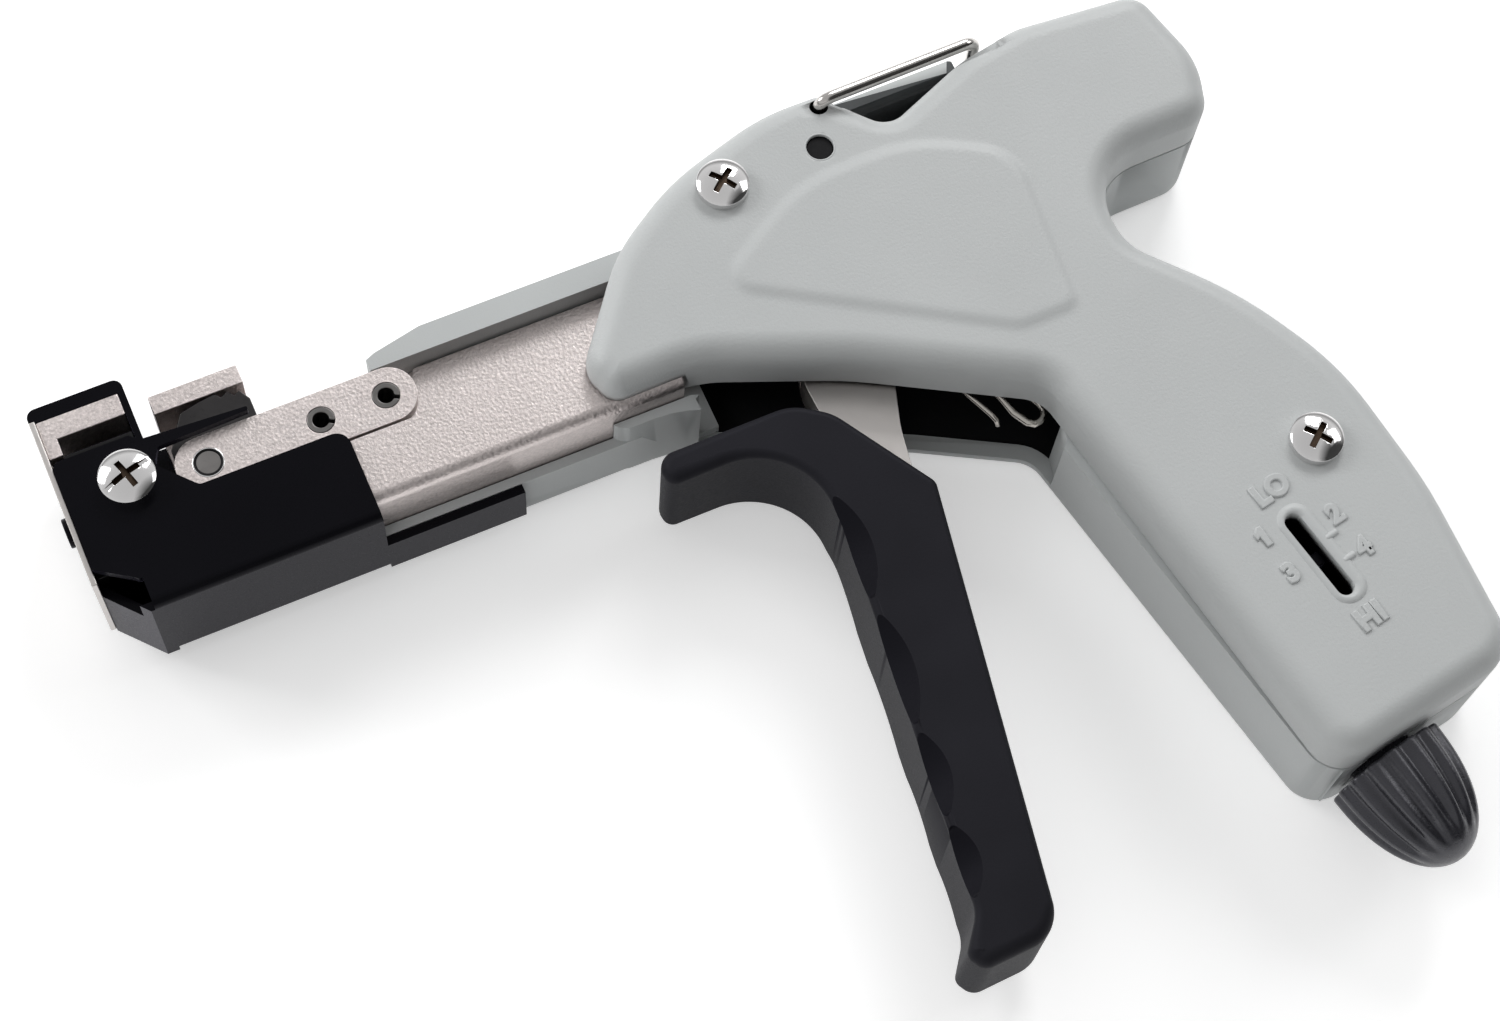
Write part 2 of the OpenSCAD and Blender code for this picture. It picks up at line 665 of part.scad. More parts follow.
// Hood over the strap: a top and a rear leg with the strap's slot
hood_top_y = 7;
hood_low_y = -3.2;
hood_thick = 2.2;
hood_leg = 1;
hood_r = 1.4;
hood_length = 13.6;
hood_near_z = nose_near_z - nose_sheet - fit;
hood_far_z = nose_far_z + nose_sheet + fit;
leg_low_y = -4.2;
module nose_hood() {
    under = hood_top_y - hood_thick;
    rear = nose_x + hood_length;
    front = nose_x - front_plate;
    hood = [[front, under, tiny_r], [rear, under, tiny_r], [rear, hood_top_y, hood_r],
        [front, hood_top_y, hood_r]];
    color([0.06, 0.06, 0.07]) difference() {
        union() {
            plate(hood, hood_far_z, hood_near_z);
            block([nose_x + hood_length - hood_leg, nose_x + hood_length],
                [leg_low_y, hood_top_y - hood_thick + tiny_r], [hood_far_z, hood_near_z]);
        }
        strap_slot(nose_x + hood_length - hood_leg - overrun, nose_x + hood_length + overrun);
    }
}

strap_low = -1.6;
module strap_slot(x0, x1) {
    block([x0, x1], [strap_low, strap_top], [mid_z - strap_width / 2, mid_z + strap_width / 2]);
}

// Anvil: the bar that the strap is cut against, with a post at each side of the slot
anvil_post = 2.1;
anvil_low_y = -1.6;
module strap_anvil() {
    x0 = nose_x + tiny_r;
    x1 = nose_x + hood_length - hood_leg - fit;
    high = hood_top_y - hood_thick - fit;
    color([0.74, 0.71, 0.68]) {
        block([x0, x1], [strap_top, high], [hood_far_z + fit, hood_near_z]);
        for (z = [[hood_far_z + fit, mid_z - strap_width / 2], [mid_z + strap_width / 2, hood_near_z]])
            block([x0, x0 + anvil_post], [anvil_low_y, strap_top + tiny_r], z);
    }
}

floor_low_y = -3.9;
module strap_floor() {
    color([0.1, 0.1, 0.11])
        block([nose_x + blade_thick + slide_gap * 3, nose_x + hood_length - hood_leg - slide_gap],
            [floor_low_y, anvil_low_y - fit], [hood_far_z + fit, hood_near_z - fit]);
}

plate_side = 0.6;
pin_travel = 3;
blade_pin_r = 1.4;
module front_plate() {
    color([0.76, 0.73, 0.70]) difference() {
        block([nose_x - front_plate, nose_x], [chamfer_y, hood_top_y - hood_thick - fit],
            [nose_far_z + plate_side, nose_near_z - plate_side]);
        strap_slot(nose_x - front_plate - overrun, nose_x + overrun);
        for (y = [nose_screw_y, nose_screw_y + pin_travel])
            translate([nose_x - front_plate - overrun, y, mid_z]) rotate([0, 90, 0])
                cylinder(r = blade_pin_r + slide_gap, h = front_plate + overrun * 2);
        block([nose_x - front_plate - overrun, nose_x + overrun], [nose_screw_y, nose_screw_y + pin_travel],
            [mid_z - blade_pin_r - slide_gap, mid_z + blade_pin_r + slide_gap]);
    }
}

nose_head_height = 3.1;
nut_height = 2.6;
nut_r = 4.5;
module nose_screw() {
    color([0.85, 0.85, 0.86]) translate([nose_screw_x, nose_screw_y, nose_near_z])
        rotate([0, 0, 18]) pan_screw(nose_head_r, nose_head_height, nose_screw_r,
            nose_near_z - nose_far_z + nut_height / 2, true);
}
module nose_nut() {
    color([0.6, 0.6, 0.62]) translate([nose_screw_x, nose_screw_y, nose_far_z - nut_height]) difference() {
        cylinder(r = nut_r, h = nut_height, $fn = 6);
        translate([0, 0, -overrun]) cylinder(r = nose_screw_r + fit, h = nut_height + overrun * 2);
    }
}
bush_r = 3.6;
module rocker_bush() {
    color([0.62, 0.6, 0.55])
        translate([nose_screw_x, nose_screw_y, nose_far_z + nose_sheet + fit]) difference() {
        cylinder(r = bush_r, h = nose_width - nose_sheet * 2 - fit * 2);
        translate([0, 0, -overrun]) cylinder(r = nose_screw_r + fit, h = nose_width + overrun);
    }
}

// Cutter: the blade behind the front plate, its pin, and the rocker that lifts it
blade_x = nose_x + tiny_r;
blade_side = 0.2;
blade_top_y = -1.85;
blade_low_y = -20.4;
bevel_drop = 1.6;
module cutter_blade() {
    z0 = mid_z - strap_width / 2 + blade_side;
    z1 = mid_z + strap_width / 2 - blade_side;
    color([0.78, 0.76, 0.74]) difference() {
        translate([0, 0, z0]) linear_extrude(z1 - z0) polygon([[blade_x + slide_gap, blade_low_y],
            [blade_x + blade_thick, blade_low_y], [blade_x + blade_thick, blade_top_y - bevel_drop],
            [blade_x + slide_gap, blade_top_y]]);
        translate([blade_x - overrun, nose_screw_y, mid_z]) rotate([0, 90, 0])
            cylinder(r = blade_pin_r + tiny_r, h = blade_thick + overrun * 2);
    }
}
pin_head_r = 2.3;
pin_head = 0.8;
pin_reach = 1.33;
module blade_pin() {
    color([0.1, 0.1, 0.11])
        translate([nose_x - front_plate - fit, nose_screw_y, mid_z]) rotate([0, 90, 0]) {
        translate([0, 0, -pin_head]) cylinder(r = pin_head_r, h = pin_head);
        cylinder(r = blade_pin_r, h = front_plate + blade_thick + pin_reach);
        translate([0, 0, front_plate + blade_thick + pin_reach]) sphere(r = blade_pin_r);
    }
}

rocker_hub_r = 5.2;
fork_half = 2.7;
fork_deep = 2.9;
fork_setback = 2.4;
fork_x = nose_x + fork_setback;
rod_tip_x = -109.4;
arm_rear_x = rod_tip_x - seat_gap;
rocker_arm = 3.6;
module cutter_rocker() {
    color([0.35, 0.35, 0.37]) difference() {
        union() {
            post([nose_screw_x, nose_screw_y], rocker_hub_r, rod_z, rod_z + rod_thick);
            block([fork_x, nose_screw_x], [nose_screw_y - fork_half, nose_screw_y + fork_half],
                [rod_z, rod_z + rod_thick]);
            block([arm_rear_x - rocker_arm, arm_rear_x], [rod_y - rod_height / 2, nose_screw_y],
                [rod_z, rod_z + rod_thick]);
        }
        post([nose_screw_x, nose_screw_y], bush_r + fit, rod_z - overrun, rod_z + rod_thick + overrun);
        block([fork_x - overrun, fork_x + fork_deep],
            [nose_screw_y - blade_pin_r - slide_gap, nose_screw_y + blade_pin_r + slide_gap],
            [rod_z - overrun, rod_z + rod_thick + overrun]);
    }
}

rod_end_share = 0.21;
module cutoff_rod() {
    color([0.5, 0.5, 0.52]) {
        block([rod_tip_x + rod_height / 2, rod_end_share * housing_size],
            [rod_y - rod_height / 2, rod_y + rod_height / 2], [rod_z, rod_z + rod_thick]);
        post([rod_tip_x + rod_height / 2, rod_y], rod_height / 2, rod_z, rod_z + rod_thick);
    }
}

// Cut-off lever: the tension spring holds it until the strap's pull passes the set value
lever_nose_r = 3;
cup_share = 0.564;
cup_y = cup_share * housing_size;
cup_thick = 1.8;
cup_border = 0.5;
tail_y = cup_y + cup_thick / 2 + seat_gap + lever_nose_r;
function tension_point(y) = knob_place + turned([0, y], knob_tilt);
module lever_leg(p, q, r) {
    u = unit(q - p) * r;
    n = left(u);
    corners = [for (k = [p - u - n, q + u - n, q + u + n, p - u + n]) [k[0], k[1], r * end_share]];
    polygon(outline(corners));
}
module cutoff_lever() {
    nose_end = [rod_end_share * housing_size + seat_gap + lever_nose_r, rod_y];
    color([0.12, 0.12, 0.13]) translate([0, 0, rod_z]) linear_extrude(rod_thick) difference() {
        union() {
            lever_leg(nose_end, cutoff_pivot, lever_nose_r);
            lever_leg(tension_point(tail_y), cutoff_pivot, lever_nose_r);
            translate(cutoff_pivot) circle(r = boss_r + overrun);
        }
        translate(cutoff_pivot) circle(r = pivot_r + fit);
    }
}
module cutoff_lever_pin() {
    color([0.3, 0.3, 0.32])
        post(cutoff_pivot, pivot_r, housing_wall + fit, top_z - housing_wall - fit);
}
cup_r = spring_r + spring_wire / 2 + cup_border;
module spring_cup() {
    color([0.55, 0.55, 0.57]) tension_frame() translate([0, cup_y + cup_thick / 2, 0])
        rotate([90, 0, 0]) cylinder(r = cup_r, h = cup_thick);
}

// Trigger: a folded lever with an eye round the pivot, inside a moulded grip
lever_shares = [
    [-0.060, 0.060, 0.060], [-0.159, -0.310, 0.080], [-0.156, -0.370, 0.080], [-0.206, -0.880, 0.020],
    [-0.134, -0.880, 0.020], [-0.054, -0.430, 0.120], [0.066, -0.060, 0.080], [0.060, 0.060, 0.060]];
lever_corners = lever_shares * housing_size;
lever_low_z = mid_z - lever_width / 2;
lever_high_z = mid_z + lever_width / 2;
web_high_y = -29.5;
web_reach = 4.5;
module trigger_lever() {
    color([0.76, 0.73, 0.70]) difference() {
        union() {
            for (z = [lever_low_z, lever_high_z - lever_sheet])
                plate(lever_corners, z, z + lever_sheet);
            intersection() {
                difference() {
                    plate(lever_corners, lever_low_z, lever_high_z);
                    translate([lever_sheet, 0, 0])
                        plate(lever_corners, lever_low_z - overrun, lever_high_z + overrun);
                }
                block([lever_corners[3][0] - overrun, lever_corners[1][0] + web_reach],
                    [lever_corners[3][1], web_high_y], [lever_low_z, lever_high_z]);
            }
        }
        post([0, 0], pivot_r + fit, lever_low_z - overrun, lever_high_z + overrun);
        post([0, -drive_arm], drive_pin_r + fit, lever_low_z - overrun, lever_high_z + overrun);
    }
}

grip_shares = [
    [-0.420, -0.402, 0.018], [-0.215, -0.400, 0.120], [-0.213, -0.560, 0.200],
    [-0.284, -1.155, 0.060], [-0.322, -1.205, 0.016], [-0.306, -1.233, 0.024],
    [-0.186, -1.228, 0.055], [-0.058, -0.548, 0.020], [-0.153, -0.390, 0.080],
    [-0.205, -0.354, 0.080], [-0.426, -0.352, 0.027]];
grip_corners = grip_shares * housing_size;
grip_low_z = mid_z - grip_width / 2;
grip_high_z = mid_z + grip_width / 2;
groove_cusp_shares = [-0.497, -0.675, -0.870, -1.015, -1.138];
groove_cusps = groove_cusp_shares * housing_size;
groove_lead = 4;
front_top = grip_corners[2];
front_slope = (grip_corners[2][0] - grip_corners[3][0]) / (grip_corners[2][1] - grip_corners[3][1]);
groove_into_z = 2.2;
function front_x(y) = front_top[0] + (y - front_top[1]) * front_slope;
module finger_groove(k, side) {
    y = (groove_cusps[k] + groove_cusps[k + 1]) / 2;
    depth = groove_depth * groove_into_z / norm([groove_depth, groove_into_z]);
    half = (groove_cusps[k] - groove_cusps[k + 1]) / 2;
    r = (half * half + depth * depth) / (2 * depth);
    tilt = atan2(groove_into_z, groove_depth);
    translate([front_x(y), y, side > 0 ? grip_high_z : grip_low_z]) scale([1, 1, side])
        rotate([0, -tilt, 0]) translate([-groove_lead, 0, r - depth])
        rotate([0, 90, 0]) cylinder(r = r, h = groove_lead + grip_width, $fn = 96);
}
module trigger_grip() {
    color([0.09, 0.09, 0.10]) difference() {
        rounded_solid(grip_corners, grip_low_z, grip_high_z, grip_round, grip_round);
        for (k = [0 : len(groove_cusps) - 2]) for (side = [-1, 1]) finger_groove(k, side);
        plate(inset(lever_corners, -fit), lever_low_z - fit, lever_high_z + fit);
        post(grip_pin_place, grip_pin_r + fit, grip_low_z + grip_pin_sink, grip_high_z - grip_pin_sink);
    }
}
grip_pin_share = [-0.16, -0.80];
grip_pin_place = grip_pin_share * housing_size;
grip_pin_r = 1.5;
grip_pin_sink = 3.5;
module grip_pin() {
    color([0.6, 0.6, 0.62])
        post(grip_pin_place, grip_pin_r, grip_low_z + grip_pin_sink + tiny_r, lever_low_z - fit * 2);
}

module drive_pin() {
    color([0.6, 0.6, 0.62])
        post([0, -drive_arm], drive_pin_r, pull_z, lever_high_z);
}

// Return spring: curls round the pivot, a hook over the lever and a leg to the housing's corner
return_wire_r = 0.6;
return_share = 0.056;
return_r = return_share * housing_size;
return_pitch = 1.75;
return_rings = 20;
return_z = lever_high_z + return_wire_r + seat_gap * 2;
leg_z = far_depth - return_wire_r - seat_gap;
hook_drop = 1.8;
hook_z = lever_high_z - hook_drop;
hook_shares = [[0.062, -0.127], [0.062, -0.127], [0.060, -0.110], [0.057, -0.030]];
leg_shares = [
    [-0.020, -0.120], [0.050, -0.300], [0.099, -0.380], [0.104, -0.430], [0.1142, -0.473],
    [0.1265, -0.495], [0.1355, -0.5015], [0.1447, -0.5005], [0.153, -0.495], [0.1575, -0.4875],
    [0.157, -0.475], [0.145, -0.45]];
leg_drop_shares = [0.10, 0.70, 1, 1, 1, 1, 1, 1, 1, 1, 1, 1];
module near_bail_boss() {
    difference() {
        post(bail_place, bail_boss_r, far_depth + scoop_wall_rise + seat_gap,
            top_z - housing_wall + tiny_r);
        post([0, 0], return_r + return_wire_r * 2, far_depth, top_z - housing_wall + overrun);
    }
}
module trigger_spring() {
    curls = [for (p = coil(return_r, return_pitch, return_rings)) p + [0, 0, return_z]];
    high = curls[len(curls) - 1][2];
    hook = [for (k = [0 : len(hook_shares) - 1]) let (p = hook_shares[k] * housing_size)
        [p[0], p[1], k == 0 ? hook_z : return_z]];
    leg = [for (k = [0 : len(leg_shares) - 1]) let (p = leg_shares[k] * housing_size)
        [p[0], p[1], high + (leg_z - high) * leg_drop_shares[k]]];
    echo(trigger_spring_gap = least_gap(curls, return_wire_r));
    color([0.8, 0.78, 0.7]) tube(concat(hook, curls, leg), return_wire_r, tube_sides);
}

// Pull bar: the far link plate, drawn back past the pivot to the drive pin
pull_high_y = -2.1;
pull_low_y = -17.4;
pull_step_x = -70;
pull_rear_x = -31.5;
pull_end_x = 7;
pull_slope = 2;
link_nose = 0.5;
link_length = 37.1;
pull_neck_y = -7;
link_front_x = -pawl_pin_x - link_height / 2 - link_nose;
link_rear_x = link_front_x + link_length;
link_end_share = 0.476;
link_end_r = link_height * link_end_share;
drive_slot_rise = 1.2;
roll_pin_front_x = -85;
roll_pin_x = [roll_pin_front_x, roll_pin_front_x + roll_pin_pitch];
module pull_bar() {
    corners = [
        [link_front_x, link_low_y, link_end_r], [pull_step_x, link_low_y, finger_r],
        [pull_step_x + pull_slope, pull_low_y, finger_r], [pull_end_x, pull_low_y, pull_slope],
        [pull_end_x, pull_neck_y, pull_slope], [pull_rear_x, pull_neck_y, pull_slope],
        [pull_rear_x - pull_slope, pull_high_y, finger_r],
        [pull_step_x + pull_slope, pull_high_y, finger_r],
        [pull_step_x, link_high_y, finger_r], [link_front_x, link_high_y, link_end_r]];
    color([0.76, 0.73, 0.70]) difference() {
        plate(corners, pull_z, pull_z + pull_thick);
        block([-drive_pin_r - slide_gap, drive_pin_r + slide_gap],
            [-drive_arm - drive_pin_r - slide_gap * 2, -drive_arm + drive_pin_r + drive_slot_rise],
            [pull_z - overrun, pull_z + pull_thick + overrun]);
        pin_bores(pull_z, pull_z + pull_thick);
    }
}
module pin_bores(low, high) {
    post([-pawl_pin_x, link_y], pawl_pin_r + fit, low - overrun, high + overrun);
    for (x = roll_pin_x) post([x, link_y], roll_pin_r + tiny_r, low - overrun, high + overrun);
}
module link_plate() {
    corners = [
        [link_front_x, link_low_y, link_end_r], [link_rear_x, link_low_y, link_end_r],
        [link_rear_x, link_high_y, link_end_r], [link_front_x, link_high_y, link_end_r]];
    color([0.74, 0.71, 0.68]) difference() {
        plate(corners, link_bottom_z, link_top_z);
        pin_bores(link_bottom_z, link_top_z);
    }
}
roll_pin_bore_share = 0.58;
roll_split = 0.26;
module roll_pins() {
    color([0.22, 0.21, 0.2]) for (x = roll_pin_x) translate([x, link_y, 0]) difference() {
        translate([0, 0, pull_z]) cylinder(r = roll_pin_r, h = link_top_z - pull_z);
        translate([0, 0, pull_z - overrun])
            cylinder(r = roll_pin_r * roll_pin_bore_share, h = link_top_z - pull_z + overrun * 2);
        rotate([0, 0, -30]) block([0, roll_pin_r + overrun], [-roll_split, roll_split],
            [pull_z - overrun, link_top_z + overrun]);
    }
}
bush_wall = 1.1;
module spacer_bushes() {
    color([0.5, 0.49, 0.47]) for (x = roll_pin_x) translate([x, link_y, 0]) difference() {
        translate([0, 0, block_z + web_thick + fit])
            cylinder(r = roll_pin_r + bush_wall, h = link_bottom_z - block_z - web_thick - fit * 2);
        translate([0, 0, block_z]) cylinder(r = roll_pin_r + tiny_r, h = link_top_z - block_z);
    }
}
module pawl_pin() {
    color([0.45, 0.44, 0.43])
        post([-pawl_pin_x, link_y], pawl_pin_r, pull_z, link_top_z);
}

// Gripper block: a web between the plates and a bar over the strap, open to the near side
web_thick = 2.4;
web_r = 3;
block_r = 0.4;
block_front_x = -107;
block_rear_x = -93.2;
block_low_y = 0.55;
block_high_y = 3.6;
web_rear_x = roll_pin_x[1] + link_height / 2;
module gripper_block() {
    web = [
        [block_front_x, link_low_y, web_r], [web_rear_x, link_low_y, web_r],
        [web_rear_x, link_high_y, web_r],
        [block_rear_x, link_high_y, finger_r], [block_rear_x, block_high_y, block_r],
        [block_front_x, block_high_y, block_r]];
    color([0.74, 0.71, 0.68]) difference() {
        union() {
            plate(web, block_z, block_z + web_thick);
            block([block_front_x, block_rear_x], [block_low_y, block_high_y],
                [block_z, link_bottom_z - fit]);
        }
        pin_bores(block_z, block_z + web_thick);
    }
}

// Pawl: three teeth over the pin's eye
pawl_shares = [
    [-0.40, -0.30], [-0.40, 0.45], [-0.10, 0.93], [0.18, 0.99], [0.43, 1.02], [0.50, 0.94],
    [0.60, 0.99], [0.68, 0.90], [0.76, 0.95], [0.86, 0.78], [0.86, 0.40], [0.52, -0.10],
    [0.30, -0.36], [-0.20, -0.40]];
pawl_rise = 10.75;
pawl_spring_room = 3.3;
pawl_low_z = block_z + web_thick + pawl_spring_room;
module gripper_pawl() {
    color([0.25, 0.25, 0.26]) difference() {
        translate([-pawl_pin_x, link_y, pawl_low_z]) linear_extrude(link_bottom_z - fit * 2 - pawl_low_z)
            polygon(pawl_shares * pawl_rise);
        post([-pawl_pin_x, link_y], pawl_pin_r + fit, pawl_low_z - overrun, link_top_z);
    }
}
pawl_wire_r = 0.3;
pawl_spring_r = 2.7;
pawl_pitch = 1.1;
pawl_rings = 16;
module pawl_spring() {
    curls = coil(pawl_spring_r, pawl_pitch, pawl_rings);
    echo(pawl_spring_gap = least_gap(curls, pawl_wire_r));
    color([0.75, 0.74, 0.7])
        translate([-pawl_pin_x, link_y, block_z + web_thick + pawl_wire_r + fit])
            tube(curls, pawl_wire_r, tube_sides);
}

// Knob: a domed profile with flutes, on a stem that turns in the housing
knob_gap = 0.3;
flute_r = 1.1;
flute_seat_share = 0.35;
flute_bow_share = 1.875;
flute_start_turn = 6;
flute_turn = 34;
dome_share = 2.3;
dome_steps = 12;
function dome_r(s) = knob_r * sqrt(max(0, 1 - pow(s, dome_share)));
module flute_cutter() {
    bow_r = flute_bow_share * knob_length;
    translate([knob_r + flute_r * flute_seat_share - bow_r, 0, 0]) rotate([90, 0, 0])
        rotate([0, 0, -flute_start_turn]) rotate_extrude(angle = flute_start_turn + flute_turn)
        translate([bow_r, 0]) circle(r = flute_r, $fn = 24);
}
module tension_knob() {
    base = -knob_gap;
    profile = concat([[0, 0]], [for (k = [0 : dome_steps - 1])
        let (s = sin(90 * k / dome_steps)) [dome_r(s), s * knob_length]]);
    color([0.08, 0.08, 0.09]) tension_frame() translate([0, base, 0]) rotate([90, 0, 0]) {
        difference() {
            rotate_extrude() polygon(concat(profile, [[0, knob_length]]));
            for (k = [0 : knob_flutes - 1]) rotate([0, 0, 360 * k / knob_flutes]) flute_cutter();
            translate([0, 0, -overrun]) cylinder(r = screw_r + tiny_r, h = screw_depth + overrun);
        }
        difference() {
            translate([0, 0, -bearing_depth]) cylinder(r = stem_r, h = bearing_depth + tiny_r);
            translate([0, 0, -bearing_depth - overrun])
                cylinder(r = screw_r + tiny_r, h = bearing_depth * 2);
        }
    }
}
screw_depth = 9;
screw_top_share = 0.47;
screw_top = screw_top_share * housing_size;
module tension_screw() {
    color([0.6, 0.6, 0.62]) tension_frame() translate([0, screw_top, 0])
        rotate([90, 0, 0]) cylinder(r = screw_r, h = screw_top + knob_gap + screw_depth);
}
module knob_collar() {
    color([0.5, 0.5, 0.52]) tension_frame() translate([0, collar_y + collar_thick, 0])
        rotate([90, 0, 0]) difference() {
            cylinder(r = collar_r, h = collar_thick);
            translate([0, 0, -overrun]) cylinder(r = screw_r + tiny_r, h = collar_thick + overrun * 2);
        }
}

nut_half = 5.2;
nut_depth = 5;
pointer_size = 2;
pointer_sink = 2.1;
module tension_nut() {
    color([0.1, 0.1, 0.11]) tension_frame() translate([0, nut_centre, 0]) {
        difference() {
            block([-nut_half, pointer_offset + pointer_size / 2], [-nut_length / 2, nut_length / 2],
                [-nut_depth, nut_depth]);
            rotate([90, 0, 0]) translate([0, 0, -nut_length])
                cylinder(r = screw_r + fit, h = nut_length * 2);
        }
        block([pointer_offset - pointer_size / 2, pointer_offset + pointer_size / 2],
            [-pointer_size / 2, pointer_size / 2], [0, top_z - mid_z - pointer_sink]);
    }
}
spring_low = nut_centre + nut_length / 2 + spring_wire / 2 + fit;
spring_high = cup_y - cup_thick / 2 - spring_wire / 2 - fit;
module tension_spring() {
    curls = coil(spring_r, (spring_high - spring_low) / spring_curls, spring_curls * curl_rings);
    echo(tension_spring_gap = least_gap(curls, spring_wire / 2));
    color([0.75, 0.74, 0.7]) tension_frame() translate([0, spring_low, 0])
        rotate([-90, 0, 0]) tube(curls, spring_wire / 2, tube_sides);
}

// Hanging bail: a wire loop, its ends turned in to the bores of the two halves
bail_lean = 4;
bail_bend = 2.2;
bail_pin_bend = bail_wire_r + fit * 2;
bail_pin = 4.2;
module bail_corner(r) {
    rotate([90, 0, 0]) rotate_extrude(angle = 90) translate([r, 0]) circle(r = bail_wire_r);
}
module bail_side() {
    height = bail_leg_near_z - mid_z;
    translate([0, 0, height - bail_pin]) cylinder(r = bail_wire_r, h = bail_pin - bail_pin_bend);
    translate([bail_pin_bend, 0, height - bail_pin_bend]) mirror([1, 0, 0]) bail_corner(bail_pin_bend);
    translate([bail_pin_bend, 0, height]) rotate([0, 90, 0])
        cylinder(r = bail_wire_r, h = bail_reach - bail_bend - bail_pin_bend);
    translate([bail_reach - bail_bend, 0, height - bail_bend]) bail_corner(bail_bend);
}
module hanging_bail() {
    half = bail_leg_near_z - mid_z - bail_bend;
    color([0.78, 0.77, 0.74]) translate([bail_place[0], bail_place[1], mid_z]) rotate([0, 0, bail_lean]) {
        bail_side();
        mirror([0, 0, 1]) bail_side();
        translate([bail_reach, 0, -half]) cylinder(r = bail_wire_r, h = half * 2);
    }
}

far_housing();
near_cover();
housing_screws();
trigger_pivot_pin();
barrel_channel();
nose_channel();
nose_hood();
strap_anvil();
strap_floor();
front_plate();
nose_screw();
rocker_bush();
nose_nut();
barrel_screws();
cutter_blade();
blade_pin();
cutter_rocker();
cutoff_rod();
cutoff_lever();
cutoff_lever_pin();
spring_cup();
trigger_lever();
trigger_grip();
grip_pin();
drive_pin();
trigger_spring();
pull_bar();
link_plate();
roll_pins();
spacer_bushes();
pawl_pin();
gripper_block();
gripper_pawl();
pawl_spring();
tension_knob();
tension_screw();
knob_collar();
tension_nut();
tension_spring();
hanging_bail();
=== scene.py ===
import bpy
import bmesh
import math
import numpy as np
from mathutils import Matrix, Vector, geometry


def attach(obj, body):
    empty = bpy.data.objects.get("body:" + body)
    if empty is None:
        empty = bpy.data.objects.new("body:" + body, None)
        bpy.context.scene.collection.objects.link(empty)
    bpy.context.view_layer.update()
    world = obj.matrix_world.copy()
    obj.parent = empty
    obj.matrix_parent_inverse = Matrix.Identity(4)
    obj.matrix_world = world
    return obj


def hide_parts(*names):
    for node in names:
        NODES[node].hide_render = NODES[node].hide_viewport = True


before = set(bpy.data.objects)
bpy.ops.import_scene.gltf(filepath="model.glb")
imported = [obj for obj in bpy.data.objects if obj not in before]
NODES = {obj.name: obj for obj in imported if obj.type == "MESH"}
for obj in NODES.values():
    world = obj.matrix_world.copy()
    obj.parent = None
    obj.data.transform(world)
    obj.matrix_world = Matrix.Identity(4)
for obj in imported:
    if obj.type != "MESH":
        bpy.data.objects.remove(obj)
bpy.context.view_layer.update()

MM = 0.001


# The camera stands where the photograph's perspective puts it: its place in millimetres, its view
# direction, and the direction that is down in the picture
EYE = Vector((-117.12, -189.82, 427.51))
LOOK = Vector((0.19264, 0.32354, -0.92640))
PICTURE_DOWN = Vector((-0.36088, -0.85456, -0.37349))


def make_camera():
    look = LOOK.normalized()
    right = look.cross(-PICTURE_DOWN).normalized()
    up = right.cross(look).normalized()
    data = bpy.data.cameras.new("camera")
    data.lens = 72.0
    data.sensor_width = 36.0
    data.clip_start = 0.01
    data.clip_end = 10.0
    camera = bpy.data.objects.new("camera", data)
    rows = Matrix((right, up, -look)).transposed().to_4x4()
    rows.translation = EYE * MM
    camera.matrix_world = rows
    bpy.context.scene.collection.objects.link(camera)
    bpy.context.scene.camera = camera


# Materials. Colours are linear.
def nodes_of(name):
    m = bpy.data.materials.new(name)
    m.use_nodes = True
    t = m.node_tree
    return m, t, t.nodes["Principled BSDF"]


def add(t, kind, **values):
    n = t.nodes.new(kind)
    for k, v in values.items():
        if hasattr(n, k):
            setattr(n, k, v)
        else:
            n.inputs[k.replace("_", " ")].default_value = v
    return n


def texture_space(t):
    coords = add(t, "ShaderNodeTexCoord")
    mapping = add(t, "ShaderNodeMapping")
    t.links.new(coords.outputs["Object"], mapping.inputs["Vector"])
    return mapping.outputs["Vector"]


def noise_at(t, vector, scale, detail=3.0, roughness=0.55):
    n = add(t, "ShaderNodeTexNoise", Scale=scale, Detail=detail, Roughness=roughness)
    t.links.new(vector, n.inputs["Vector"])
    return n.outputs["Fac"]


def span(t, value, low, high, out_low, out_high):
    n = add(t, "ShaderNodeMapRange")
    for k, v in zip(("From Min", "From Max", "To Min", "To Max"), (low, high, out_low, out_high)):
        n.inputs[k].default_value = v
    t.links.new(value, n.inputs["Value"])
    return n.outputs["Result"]


def tinted(t, value, dark, light):
    ramp = add(t, "ShaderNodeValToRGB")
    ramp.color_ramp.elements[0].color = (*dark, 1)
    ramp.color_ramp.elements[1].color = (*light, 1)
    ramp.color_ramp.elements[0].position = 0.3
    ramp.color_ramp.elements[1].position = 0.7
    t.links.new(value, ramp.inputs["Fac"])
    return ramp.outputs["Color"]


def bump(t, shader, height, distance, strength=1.0, normal=None):
    n = add(t, "ShaderNodeBump", Distance=distance, Strength=strength)
    t.links.new(height, n.inputs["Height"])
    if normal is not None:
        t.links.new(normal, n.inputs["Normal"])
    if shader is not None:
        t.links.new(n.outputs["Normal"], shader.inputs["Normal"])
    return n.outputs["Normal"]


